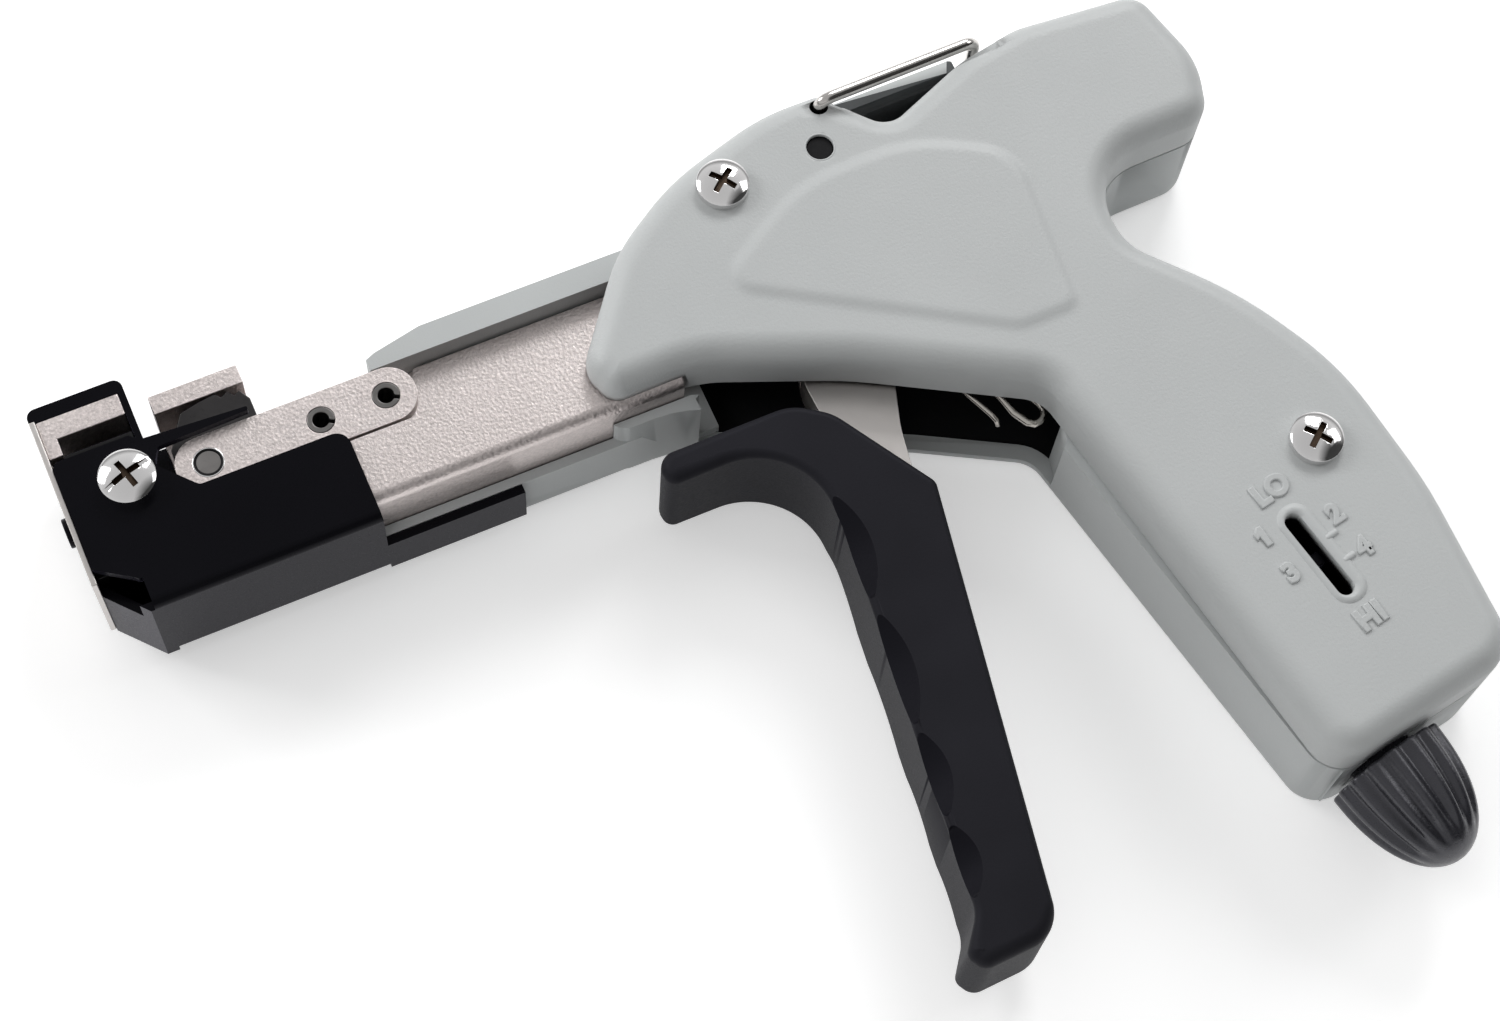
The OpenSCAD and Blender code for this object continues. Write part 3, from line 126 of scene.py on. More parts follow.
def material(name, dark, light, metallic, rough, grain, depth, rough_span=0.06, specular=0.5,
             tint=(1, 1, 1), broad_scale=55.0):
    """A slow change between two tones, with a fine grain in roughness and height."""
    m, t, s = nodes_of(name)
    v = texture_space(t)
    broad = noise_at(t, v, broad_scale, 2.0)
    fine = noise_at(t, v, grain, 4.0, 0.6)
    t.links.new(tinted(t, broad, dark, light), s.inputs["Base Color"])
    roughness = span(t, fine, 0.25, 0.75, rough - rough_span, rough + rough_span)
    t.links.new(roughness, s.inputs["Roughness"])
    s.inputs["Metallic"].default_value = metallic
    s.inputs["Specular IOR Level"].default_value = specular
    s.inputs["Specular Tint"].default_value = (*tint, 1)
    bump(t, s, fine, depth)
    return m


def cast_metal(name, dark, light, rough, grain, depth, fleck):
    """Plated casting: small pits and bright flecks over a slow change of tone."""
    m, t, s = nodes_of(name)
    v = texture_space(t)
    broad = noise_at(t, v, 60.0, 3.0)
    fine = noise_at(t, v, grain, 3.0, 0.7)
    pits = add(t, "ShaderNodeTexVoronoi", Scale=grain * 0.8, Randomness=1.0)
    t.links.new(v, pits.inputs["Vector"])
    base = tinted(t, broad, dark, light)
    mix = add(t, "ShaderNodeMix", data_type="RGBA", blend_type="MULTIPLY")
    mix.inputs["Factor"].default_value = 1.0
    t.links.new(base, mix.inputs["A"])
    t.links.new(tinted(t, fine, (1 - fleck,) * 3, (1 + fleck * 0.4,) * 3), mix.inputs["B"])
    t.links.new(mix.outputs["Result"], s.inputs["Base Color"])
    t.links.new(span(t, fine, 0.3, 0.7, rough - 0.08, rough + 0.10), s.inputs["Roughness"])
    s.inputs["Metallic"].default_value = 1.0
    low = bump(t, None, pits.outputs["Distance"], depth, 0.6)
    bump(t, s, fine, depth, 1.0, low)
    return m


PURPLE, COOL = (0.86, 0.83, 1.0), (0.93, 0.93, 1.0)

# Dark tone, light tone, metallic, roughness, scale of the grain, its depth in metres, and the rest
# by name
FINISHES = {
    "cover_paint": ((0.492, 0.508, 0.508), (0.512, 0.528, 0.528), 0.0, 0.46, 2000.0, 0.00005, {}),
    "far_paint": ((0.500, 0.520, 0.520), (0.520, 0.540, 0.540), 0.0, 0.46, 2600.0, 0.00003, {}),
    # A near-black painted shade for insides, bores and crevices
    "inner": ((0.006, 0.006, 0.007), (0.010, 0.010, 0.011), 0.0, 0.6, 1500.0, 0.00004,
              {"specular": 0.15}),
    "shade": ((0.075, 0.080, 0.082), (0.090, 0.095, 0.098), 0.0, 0.6, 1500.0, 0.00004,
              {"specular": 0.2}),
    "grip_black": ((0.015, 0.015, 0.018), (0.019, 0.019, 0.023), 0.0, 0.50, 3000.0, 0.00003,
                   {"specular": 0.07, "tint": PURPLE}),
    # Painted shade: a darker black for the faces of the grip's finger grooves
    "groove_shade_black": ((0.006, 0.006, 0.008), (0.009, 0.009, 0.012), 0.0, 0.50, 3000.0, 0.00003,
                     {"specular": 0.06, "tint": PURPLE}),
    "knob_black": ((0.016, 0.016, 0.020), (0.024, 0.024, 0.029), 0.0, 0.30, 1600.0, 0.00004,
                   {"rough_span": 0.08, "specular": 0.75, "tint": COOL, "broad_scale": 140.0}),
    "nose_black": ((0.0015, 0.0015, 0.0024), (0.0022, 0.0022, 0.0034), 0.0, 0.30, 2500.0, 0.00001,
                   {"specular": 0.06, "tint": PURPLE}),
    "sheet": ((0.62, 0.590, 0.570), (0.68, 0.650, 0.630), 1.0, 0.33, 900.0, 0.00002,
              {"broad_scale": 30.0}),
    "polished": ((0.58, 0.560, 0.540), (0.66, 0.640, 0.620), 1.0, 0.16, 900.0, 0.00001,
                 {"rough_span": 0.05}),
    "chrome": ((0.80, 0.79, 0.79), (0.88, 0.87, 0.87), 1.0, 0.09, 500.0, 0.000005,
               {"rough_span": 0.04}),
    "tool": ((0.16, 0.155, 0.15), (0.25, 0.24, 0.235), 1.0, 0.36, 1200.0, 0.00002,
             {"rough_span": 0.08}),
    "dark_steel": ((0.022, 0.021, 0.022), (0.045, 0.043, 0.044), 0.8, 0.34, 1400.0, 0.00002,
                   {"rough_span": 0.08}),
    "spring": ((0.45, 0.42, 0.39), (0.56, 0.53, 0.49), 1.0, 0.25, 900.0, 0.00001, {}),
    # Painted shade with a bronze tint, for the screws' cross recesses
    "recess": ((0.070, 0.048, 0.034), (0.110, 0.080, 0.060), 1.0, 0.34, 1500.0, 0.00001, {}),
    "bronze": ((0.38, 0.25, 0.10), (0.48, 0.33, 0.15), 1.0, 0.35, 900.0, 0.00001, {}),
}
# The nose's clear coat and its faint violet sheen
NOSE_LACQUER = {
    "Sheen Weight": 0.15, "Sheen Roughness": 0.35, "Sheen Tint": (0.72, 0.68, 1.0, 1),
    "Coat Weight": 0.08, "Coat Roughness": 0.12}


def make_materials():
    made = {name: material(name, *values[:-1], **values[-1]) for name, values in FINISHES.items()}
    for socket, value in NOSE_LACQUER.items():
        made["nose_black"].node_tree.nodes["Principled BSDF"].inputs[socket].default_value = value
    made["nickel"] = cast_metal("nickel", (0.730, 0.662, 0.645), (0.780, 0.712, 0.695),
                                0.38, 2300.0, 0.00006, 0.20)
    return made


MAT = make_materials()
# The pivot pin in its hole and the strap floor inside the nose take the near-black painted shade
LOOKS = {
    "far_housing": "far_paint", "near_cover": "cover_paint", "housing_screws": "chrome",
    "trigger_pivot_pin": "inner", "barrel_channel": "nickel", "nose_channel": "nose_black",
    "nose_hood": "nose_black", "strap_anvil": "nickel", "strap_floor": "inner",
    "front_plate": "sheet", "nose_screw": "chrome", "rocker_bush": "bronze", "nose_nut": "chrome",
    "barrel_screws": "chrome", "cutter_blade": "dark_steel", "blade_pin": "nose_black",
    "cutter_rocker": "tool", "cutoff_rod": "tool", "cutoff_lever": "nose_black",
    "cutoff_lever_pin": "tool", "spring_cup": "tool", "trigger_lever": "sheet",
    "trigger_grip": "grip_black", "grip_pin": "tool", "drive_pin": "tool",
    "trigger_spring": "spring", "pull_bar": "nickel", "link_plate": "nickel", "roll_pins": "tool",
    "spacer_bushes": "tool", "pawl_pin": "tool", "gripper_block": "nickel",
    "gripper_pawl": "dark_steel", "pawl_spring": "spring", "tension_knob": "knob_black",
    "tension_screw": "tool", "knob_collar": "tool", "tension_nut": "nose_black",
    "tension_spring": "spring", "hanging_bail": "polished"}
# Width of the edge bevels in millimetres
BEVEL = 0.18
BEVELS = {
    "far_housing": 0.25, "near_cover": 0.25, "trigger_grip": 0.25, "tension_knob": 0.15,
    "housing_screws": 0.08, "nose_screw": 0.1,
    "trigger_spring": 0, "tension_spring": 0, "pawl_spring": 0, "hanging_bail": 0}
ROUND_NODES = ("trigger_spring", "tension_spring", "pawl_spring", "hanging_bail")


def dissolve_flats(o, degrees):
    flat = o.modifiers.new("flat", "DECIMATE")
    flat.decimate_type = "DISSOLVE"
    flat.angle_limit = math.radians(degrees)
    flat.delimit = {"MATERIAL"}


def bevel_edges(o, degrees, width, segments):
    b = o.modifiers.new("bevel", "BEVEL")
    b.limit_method = "ANGLE"
    b.angle_limit = math.radians(degrees)
    b.width = width * MM
    b.segments = segments


def weigh_normals(o):
    normals = o.modifiers.new("normals", "WEIGHTED_NORMAL")
    normals.keep_sharp = False


def finish_node(name):
    o = NODES[name]
    o.data.materials.clear()
    o.data.materials.append(MAT[LOOKS[name]])
    for p in o.data.polygons:
        p.use_smooth = True
    weld = o.modifiers.new("weld", "WELD")
    weld.merge_threshold = 2e-6
    if name not in ROUND_NODES:
        dissolve_flats(o, 0.4)
    width = BEVELS.get(name, BEVEL)
    if width:
        bevel_edges(o, 38, width, 2)
    weigh_normals(o)


# Outlines of the castings in millimetres: a corner is x, y and its radius
COVER = [
    (-47.0, -19.0, 5.0), (-44.8, -25.0, 3.2), (-31.0, -24.8, 20.0), (-10.0, -33.2, 60.0),
    (15.6, -47.6, 6.0), (28.1, -117.8, 5.5), (60.0, -112.5, 7.0), (60.4, -84.0, 60.0),
    (57.5, -62.0, 45.0), (49.0, -45.5, 60.0), (36.9, -31.8, 9.0), (36.9, -17.4, 10.0),
    (58.6, -16.9, 5.0), (61.6, -7.5, 14.0), (58.0, 7.0, 4.5), (37.3, 8.6, 12.0),
    (27.2, 6.7, 20.0), (12.0, 0.6, 4.0), (4.0, 9.6, 2.2), (-5.8, 9.65, 35.0),
    (-23.0, 4.5, 40.0), (-35.0, -3.3, 28.0)]
LEVER = [
    (-6.0, 6.0, 6.0), (-15.9, -31.0, 8.0), (-15.6, -37.0, 8.0), (-20.6, -88.0, 2.0),
    (-13.4, -88.0, 2.0), (-5.4, -43.0, 12.0), (6.6, -6.0, 8.0), (6.0, 6.0, 6.0)]
PANEL = [
    (-23.5, -15.5, 3.0), (15.0, -38.8, 5.0), (24.5, -38.8, 2.0), (27.0, -12.0, 8.0),
    (13.0, -4.2, 25.0), (-6.0, -4.8, 25.0)]
PARTING_Z, TOP_Z, WALL, COVER_ROUND = 17.5, 27.5, 2.5, 4.0
PANEL_RISE, PANEL_SLOPE = 0.5, 1.8
AXIS_PLACE, AXIS_TILT = Vector((38.0, -117.0)), math.radians(10.9)
BAIL_PLACE = Vector((2.74, 6.8))
BAIL_HOLE = BAIL_PLACE + Vector((0, -0.3))
BAIL_HOLE_R, PIVOT_HOLE_R = 1.45, 2.12
BAIL_WIRE_R, BAIL_LEAN, BAIL_REACH, BAIL_LEG = 0.95, math.radians(4), 27.9, 11.95
BAIL_BEND, BAIL_PIN_BEND, BAIL_RISE, BAIL_PIN_END = 2.2, 1.6, 15.0, 7.75
SCOOP = [(5.0, 8.0), (10.0, 1.0), (16.0, 1.5), (26.0, 6.4), (30.0, 8.4), (27.0, 9.4), (12.0, 8.6)]
MID_Z = 13.75


def smooth_step(a, b, v):
    k = min(max((v - a) / (b - a), 0), 1)
    return k * k * (3 - 2 * k)


def left(u):
    return Vector((-u.y, u.x))


def heading(corners, i):
    a, b = corners[i % len(corners)], corners[(i + 1) % len(corners)]
    return Vector((b[0] - a[0], b[1] - a[1])).normalized()


def turned(q, w):
    return Vector((q.x * math.cos(w) - q.y * math.sin(w), q.x * math.sin(w) + q.y * math.cos(w)))


def inset(corners, d):
    out = []
    for i, b in enumerate(corners):
        u, v = heading(corners, i - 1), heading(corners, i)
        p = Vector(b[:2]) + (left(u) + left(v)) * d / (1 + u.dot(v))
        out.append((p.x, p.y, max(b[2] - d, 0.02) if u.cross(v) > 0 else b[2] + d))
    return out


def outline(corners, step=3.0):
    out = []
    for i, b in enumerate(corners):
        u, v = heading(corners, i - 1), heading(corners, i)
        w = math.atan2(u.cross(v), u.dot(v))
        start = Vector(b[:2]) - u * b[2] * math.tan(abs(w) / 2)
        centre = start + left(u) * math.copysign(b[2], w)
        steps = max(1, math.ceil(math.degrees(abs(w)) / step))
        out += [centre + turned(start - centre, w * j / steps) for j in range(steps + 1)]
    return out


def inside_by(poly, points):
    """Distance of each point inside the outline, below zero outside."""
    a = np.array([tuple(p) for p in poly])
    b = np.roll(a, -1, axis=0)
    d = b - a
    best = np.full(len(points), 1e9)
    crossings = np.zeros(len(points), dtype=int)
    for p, q, e in zip(a, b, d):
        k = np.clip(((points - p) @ e) / max(e @ e, 1e-12), 0, 1)
        best = np.minimum(best, np.linalg.norm(points - p - k[:, None] * e, axis=1))
        if p[1] != q[1]:
            x = p[0] + (points[:, 1] - p[1]) * e[0] / e[1]
            crossings += ((p[1] > points[:, 1]) != (q[1] > points[:, 1])) & (points[:, 0] < x)
    return np.where(crossings % 2 == 1, best, -best)


def mesh_object(name, verts, faces):
    mesh = bpy.data.meshes.new(name)
    mesh.from_pydata([[c * MM for c in v] for v in verts], [], faces)
    mesh.validate()
    o = bpy.data.objects.new(name, mesh)
    bpy.context.scene.collection.objects.link(o)
    return o


def bridge(a, b, n):
    return [(a + i, a + (i + 1) % n, b + (i + 1) % n, b + i) for i in range(n)]


def bands(rows, n):
    """Faces between rows of n points each, one band after the other."""
    return [f for k in range(rows - 1) for f in bridge(k * n, (k + 1) * n, n)]


def flipped(faces):
    return [f[::-1] for f in faces]


def evaluated_mesh(o):
    return bpy.data.meshes.new_from_object(
        o.evaluated_get(bpy.context.evaluated_depsgraph_get()))


def heights(o):
    """Height of each corner of a mesh in millimetres."""
    return [(o.matrix_world @ v.co).z / MM for v in o.data.vertices]


def prism(name, points, low, high):
    n = len(points)
    verts = [(p[0], p[1], z) for z in (low, high) for p in points]
    ends = [tuple(range(n - 1, -1, -1)), tuple(range(n, 2 * n))]
    return mesh_object(name, verts, bridge(0, n, n) + ends)


def on_axis(x, s):
    return turned(Vector((x, s)), AXIS_TILT) + AXIS_PLACE


def oblong(x0, x1, s0, s1, share=0.98, step=9.0):
    r = (x1 - x0) / 2 * share
    corners = [(x0, s0, r), (x1, s0, r), (x1, s1, r), (x0, s1, r)]
    return [on_axis(p.x, p.y) for p in outline(corners, step)]


def circle(p, r, n=48):
    angles = [2 * math.pi * k / n for k in range(n)]
    return [(p[0] + r * math.cos(a), p[1] + r * math.sin(a)) for a in angles]


def cut_by(o, cutters):
    for c in cutters:
        m = o.modifiers.new("cut", "BOOLEAN")
        m.operation = "DIFFERENCE"
        m.object = c
        m.solver = "EXACT"
        m.material_mode = "TRANSFER"
    mesh = evaluated_mesh(o)
    o.modifiers.clear()
    o.data = mesh
    for c in cutters:
        bpy.data.objects.remove(c)


# Inside of the far housing: the distance from the cover's outline, the height that it begins
# above, and where the arm ends
INSIDE_WALL, INSIDE_Z, INSIDE_X = 2.2, 2.45, -26


def darken_inside(o):
    """Painted shade: the far housing's inner walls and floor take the near-black slot, the scoop's
    floor a grey one.
    """
    o.data.materials.append(MAT["inner"])
    o.data.materials.append(MAT["shade"])
    centres = np.array([tuple(o.matrix_world @ p.center) for p in o.data.polygons]) / MM
    deep = inside_by(outline(inset(COVER, INSIDE_WALL)), centres[:, :2])
    scoop = inside_by([Vector(p) for p in SCOOP], centres[:, :2])
    # Painted shade: near-black inside the housing, a lighter grey shade on the scoop's floor
    for p, c, d, e in zip(o.data.polygons, centres, deep, scoop):
        if d > 0 and c[2] > INSIDE_Z and c[0] > INSIDE_X:
            p.material_index = 1
        if e > 0 and c[2] > INSIDE_Z:
            p.material_index = 2


# The cross-recess screws: places, the nose's near face, the reach round each place, the recess's
# share of the head, and its least depth under the dome
SCREWS, NOSE_SCREW = [(-16.4, -0.5), (47.1, -72.3)], (-114.0, -9.7)
NOSE_NEAR_Z, SCREW_REACH, RECESS_SHARE, RECESS_DEPTH = 23.75, 5.0, 0.8, 0.3


def darken_recess(o, places, seat_z):
    """Painted shade: the walls and floor of a screw's recess take a dark, bronze-tinted slot; its
    dome stays bright.
    """
    o.data.materials.append(MAT["recess"])
    rows = [(o.matrix_world @ p.center) / MM for p in o.data.polygons]
    levels = heights(o)
    for place in places:
        around = [i for i, c in enumerate(rows)
                  if (c.xy - Vector(place)).length < SCREW_REACH and c.z > seat_z + 0.05]
        crown = max(levels[v] for i in around for v in o.data.polygons[i].vertices)
        rim = max((rows[i].xy - Vector(place)).length for i in around)
        for i in around:
            normal = o.data.polygons[i].normal
            off = (rows[i].xy - Vector(place)).length / rim
            dome = seat_z + (crown - seat_z) * math.sqrt(max(0, 1 - off ** 2))
            steep = abs(normal.z) < 0.3
            # Painted shade on the steep walls and on the floor below the dome
            if off < RECESS_SHARE and (steep or rows[i].z < dome - RECESS_DEPTH):
                o.data.polygons[i].material_index = 1


# The near cover: fillet in rings, and a dense top that rises softly to the panel. The groove at
# the parting line is given by height and depth.
PARTING_GROOVE = [(0, 0.5), (0.22, 0.4), (0.3, 0.1), (0.45, 0.0)]
FILLET_STEPS, TOP_GRID = 16, 0.7
TOP_SPAN_X, TOP_SPAN_Y = (-45.0, 62.0), (-116.0, 10.0)


def cover_shell():
    levels = [(PARTING_Z + rise, depth) for rise, depth in PARTING_GROOVE]
    levels += [(TOP_Z - COVER_ROUND * (1 - math.sin(a)), COVER_ROUND * (1 - math.cos(a)))
               for a in [math.radians(90 * k / FILLET_STEPS) for k in range(FILLET_STEPS + 1)]]
    rings = [outline(inset(COVER, d)) for _, d in levels]
    n = len(rings[0])
    verts = [(p.x, p.y, z) for (z, _), ring in zip(levels, rings) for p in ring]
    faces = bands(len(levels), n)
    rim = rings[-1]
    xs = np.arange(*TOP_SPAN_X, TOP_GRID)
    ys = np.arange(*TOP_SPAN_Y, TOP_GRID)
    gx, gy = np.meshgrid(xs, ys)
    gx = gx + TOP_GRID / 2 * (np.arange(len(ys)) % 2)[:, None]
    grid = np.stack([gx.ravel(), gy.ravel()], axis=1)
    grid = grid[inside_by(rim, grid) > 0.5]
    points, _, triangles, *_ = geometry.delaunay_2d_cdt(
        list(rim) + [Vector(p) for p in grid], [(i, (i + 1) % n) for i in range(n)], [], 1, 1e-5)
    depth = inside_by(outline(PANEL, 6.0), np.array([tuple(p) for p in points]))
    share = np.clip(depth / PANEL_SLOPE + 0.5, 0, 1)
    rise = PANEL_RISE * share * share * (3 - 2 * share)
    base = len(verts) - n
    verts += [(p.x, p.y, TOP_Z + rise[n + k]) for k, p in enumerate(points[n:])]
    faces += [tuple(base + i for i in f) for f in triangles]
    low = len(verts)
    inner = outline(inset(COVER, WALL))
    m = len(inner)
    verts += [(p.x, p.y, z) for z in (PARTING_Z, TOP_Z - WALL) for p in inner]
    faces += flipped(bridge(low, low + m, m))
    faces += [tuple(low + m + i for i in range(m - 1, -1, -1))]
    faces += flipped(bridge(0, low, n))
    return mesh_object("near_cover_casting", verts, faces)


# Opening of the pointer's window, across and along the tension axis, and the height over which
# cutters reach through the face
WINDOW = (5.15, 7.85, 20.55, 35.05)
CUT_THROUGH = (20.0, 40.0)


def cover_cutters():
    """Window, pin hole, bail hole, the barrel's notch, and the sill that the bail lies over."""
    front, sill_y = BAIL_PLACE.x + 2.6, BAIL_PLACE.y - 1.3
    sill = [(34.0, sill_y), (34.0, 18.0), (front, 18.0), (front, sill_y)]
    return [
        prism("cut_slot", oblong(*WINDOW), *CUT_THROUGH),
        prism("cut_pivot", circle((0, 0), PIVOT_HOLE_R), *CUT_THROUGH),
        prism("cut_bail", circle(BAIL_HOLE, BAIL_HOLE_R), 17.0, 40.0),
        prism("cut_barrel", [(-60, -31.2), (-33, -31.2), (-33, -15.35), (-60, -15.35)],
              10.0, 22.35),
        prism("cut_sill", sill, 24.5, 40.0)]


# Raised marks round the pointer's window, upright along the tension axis: text, place, height
MARKS = [("LO", 6.94, 39.6, 4.4), ("1", 1.49, 34.53, 4.0), ("2", 12.4, 31.43, 4.0),
         ("3", 1.35, 27.82, 4.0), ("4", 12.66, 25.07, 4.0), ("HI", 6.7, 16.2, 4.4)]
# Outline of the figure 1 with a short flag, in shares of its height
FLAGGED_ONE = [(-0.06, -0.34), (0.06, -0.34), (0.06, 0.34), (-0.03, 0.34), (-0.20, 0.20),
               (-0.20, 0.10), (-0.06, 0.19)]


def raised_mark(text, x, s, size):
    curve = bpy.data.curves.new("mark", "CURVE" if text == "1" else "FONT")
    if text == "1":
        curve.dimensions = "2D"
        curve.fill_mode = "BOTH"
        line = curve.splines.new("POLY")
        line.points.add(len(FLAGGED_ONE) - 1)
        for point, (u, v) in zip(line.points, FLAGGED_ONE):
            point.co = (u * size * MM, v * size * MM, 0, 1)
        line.use_cyclic_u = True
    else:
        curve.body = text
        curve.size = size * MM
        curve.align_x = "CENTER"
        curve.align_y = "CENTER"
        curve.space_character = 1.05
    curve.extrude = 0.12 * MM
    curve.bevel_depth = 0.22 * MM
    curve.bevel_resolution = 2
    curve.offset = 0.12 * MM
    o = bpy.data.objects.new("mark", curve)
    place = on_axis(x, s)
    o.location = Vector((place.x, place.y, TOP_Z)) * MM
    o.rotation_euler = (0, 0, AXIS_TILT)
    bpy.context.scene.collection.objects.link(o)
    bpy.context.view_layer.update()
    mesh = evaluated_mesh(o)
    mesh.transform(o.matrix_world)
    bpy.data.objects.remove(o)
    return mesh


# Rings of the window's border: across, along and height; then its ticks and their section
RIM_RINGS = [
    (5.10, 7.90, 20.5, 35.1, 27.4), (5.10, 7.90, 20.5, 35.1, 27.8), (4.85, 9.0, 19.8, 35.8, 27.84),
    (4.4, 9.55, 19.3, 36.3, 27.7), (4.1, 9.9, 19.0, 36.6, 27.46)]
TICKS, TICK_ENDS = (29.26, 25.12), (8.9, 10.9)
TICK_SECTION = ((-0.55, 27.46), (-0.3, 27.86), (0.3, 27.86), (0.55, 27.46))


def window_rim():
    """The raised border of the window and its two ticks."""
    verts, faces = [], []
    for *opening, z in RIM_RINGS:
        verts += [(p.x, p.y, z) for p in oblong(*opening)]
    faces += flipped(bands(len(RIM_RINGS), len(verts) // len(RIM_RINGS)))
    for s in TICKS:
        a = len(verts)
        verts += [(*on_axis(x, s + y), z) for y, z in TICK_SECTION for x in TICK_ENDS]
        faces += [(a + k, a + k + 1, a + k + 3, a + k + 2) for k in (0, 2, 4)]
        faces += [(a + 1, a + 7, a + 5, a + 3)]
    return mesh_object("window_rim", verts, faces)


# Points round the fine rings
RING_SIDES = 64


def hole_lip(place, r):
    """A fine turned edge round a hole in the cover's face."""
    rings = [(r - 0.02, -0.5), (r - 0.03, -0.06), (r + 0.02, 0.03), (r + 0.12, 0.06),
             (r + 0.24, 0.035), (r + 0.32, -0.03)]
    verts = [(*p, TOP_Z + z) for q, z in rings for p in circle(place, q, RING_SIDES)]
    return mesh_object("lip", verts, flipped(bands(len(rings), RING_SIDES)))


# Depth of paint on the walls of the window and of the other holes; the window's middle and reach
WINDOW_WALL, HOLE_WALL = 1.7, 0.75
WINDOW_MIDDLE, WINDOW_REACH = (6.5, 27.8), 9.0


def build_cover():
    o = cover_shell()
    cut_by(o, cover_cutters())
    bm = bmesh.new()
    bm.from_mesh(o.data)
    for extra in (window_rim(), hole_lip((0, 0), PIVOT_HOLE_R)):
        bm.from_mesh(extra.data)
        bpy.data.objects.remove(extra)
    for mark in MARKS:
        bm.from_mesh(raised_mark(*mark))
    for f in bm.faces:
        f.smooth = True
    bm.to_mesh(o.data)
    bm.free()
    o.data.materials.clear()
    o.data.materials.append(MAT["cover_paint"])
    o.data.materials.append(MAT["inner"])
    centres = np.array([tuple(p.center / MM) for p in o.data.polygons])
    z = centres[:, 2]

    def near(place, reach):
        return np.linalg.norm(centres[:, :2] - np.array(place), axis=1) < reach

    # Painted shade, near-black: the inside below the holes' painted walls, the bail's bore, and
    # the parting groove
    deep = inside_by(outline(inset(COVER, WALL)), centres[:, :2]) > -0.01
    at_bail = near(BAIL_HOLE, BAIL_HOLE_R + 0.05)
    at_window = near(on_axis(*WINDOW_MIDDLE), WINDOW_REACH)
    painted = np.where(at_window, WINDOW_WALL, HOLE_WALL)
    dark = (z < TOP_Z - painted) & (at_bail | deep & (z > PARTING_Z + 0.1))
    dark |= (z < PARTING_Z + 0.2) & ~deep
    for p, index in zip(o.data.polygons, dark):
        p.material_index = int(index)
    weigh_normals(o)
    return o


def tube(name, path, r, sides=24):
    """A round wire along a path of points in millimetres."""
    points = [Vector(p) for p in path]
    steps = [(b - a).normalized() for a, b in zip(points, points[1:])]
    headings = [steps[0]] + [(a + b).normalized() for a, b in zip(steps, steps[1:])] + [steps[-1]]
    across = headings[0].orthogonal().normalized()
    verts = []
    for p, h in zip(points, headings):
        across = (across - h * across.dot(h)).normalized()
        other = h.cross(across)
        for k in range(sides):
            a = 2 * math.pi * k / sides
            verts.append(tuple(p + (across * math.cos(a) + other * math.sin(a)) * r))
    last = (len(points) - 1) * sides
    ends = [tuple(range(sides - 1, -1, -1)), tuple(range(last, last + sides))]
    return mesh_object(name, verts, bands(len(points), sides) + ends)


def arc(centre, r, start, end, steps=12):
    """Points of an arc in the plane of x and z; angles in degrees."""
    angles = [math.radians(start + (end - start) * k / steps) for k in range(steps + 1)]
    return [(centre[0] + r * math.cos(a), 0.0, centre[1] + r * math.sin(a)) for a in angles]


def build_bail():
    """The hanging bail as one wire; its near end rises over the cover's edge into its hole."""
    drop = BAIL_PLACE.y - BAIL_HOLE.y
    near = [(0, 0, 5.0)] + arc((BAIL_PIN_BEND, BAIL_RISE - BAIL_PIN_BEND), BAIL_PIN_BEND, 180, 90)
    path = [(x, -drop, z) for x, y, z in near]
    path.append((BAIL_PIN_BEND + 0.8, -drop, BAIL_RISE - 0.02))
    path += arc((BAIL_REACH - BAIL_BEND, BAIL_LEG - BAIL_BEND), BAIL_BEND, 90, 0)
    path += arc((BAIL_REACH - BAIL_BEND, BAIL_BEND - BAIL_LEG), BAIL_BEND, 0, -90)
    path += arc((BAIL_PIN_BEND, BAIL_PIN_BEND - BAIL_LEG), BAIL_PIN_BEND, 270, 180)
    path.append((0, 0, -BAIL_PIN_END))
    turned_path = []
    for x, y, z in path:
        p = turned(Vector((x, y)), BAIL_LEAN) + BAIL_PLACE
        turned_path.append((p.x, p.y, MID_Z + z))
    o = tube("hanging_bail_wire", turned_path, BAIL_WIRE_R)
    o.data.materials.append(MAT["polished"])
    o.data.shade_smooth()
    weigh_normals(o)
    return o


def node_points(name):
    """Corners of a CAD node in millimetres."""
    return [(NODES[name].matrix_world @ v.co) / MM for v in NODES[name].data.vertices]


def build_pin_seat():
    """A ring of painted shade round the pawl pin where it sits in the link plate, with a chrome
    bead outside it.
    """
    pin, plate = node_points("pawl_pin"), node_points("link_plate")
    centre = [(min(p[i] for p in pin) + max(p[i] for p in pin)) / 2 for i in (0, 1)]
    r = (max(p.x for p in pin) - min(p.x for p in pin)) / 2
    z = max(p.z for p in plate)
    rings = [(r - 0.1, -0.05), (r - 0.1, 0.03), (r + 0.28, 0.03), (r + 0.34, 0.05),
             (r + 0.46, 0.03), (r + 0.5, -0.05)]
    verts = [(*p, z + h) for q, h in rings for p in circle(centre, q, RING_SIDES)]
    faces = flipped(bands(len(rings), RING_SIDES))
    faces += flipped(bridge((len(rings) - 1) * RING_SIDES, 0, RING_SIDES))
    o = mesh_object("pawl_pin_seat", verts, faces)
    o.data.materials.append(MAT["inner"])
    o.data.materials.append(MAT["chrome"])
    # Painted shade inside the bead, chrome on the bead
    for p in o.data.polygons:
        off = (p.center.xy / MM - Vector(centre)).length
        p.material_index = int(off > r + 0.29)
    o.data.shade_smooth()
    return o


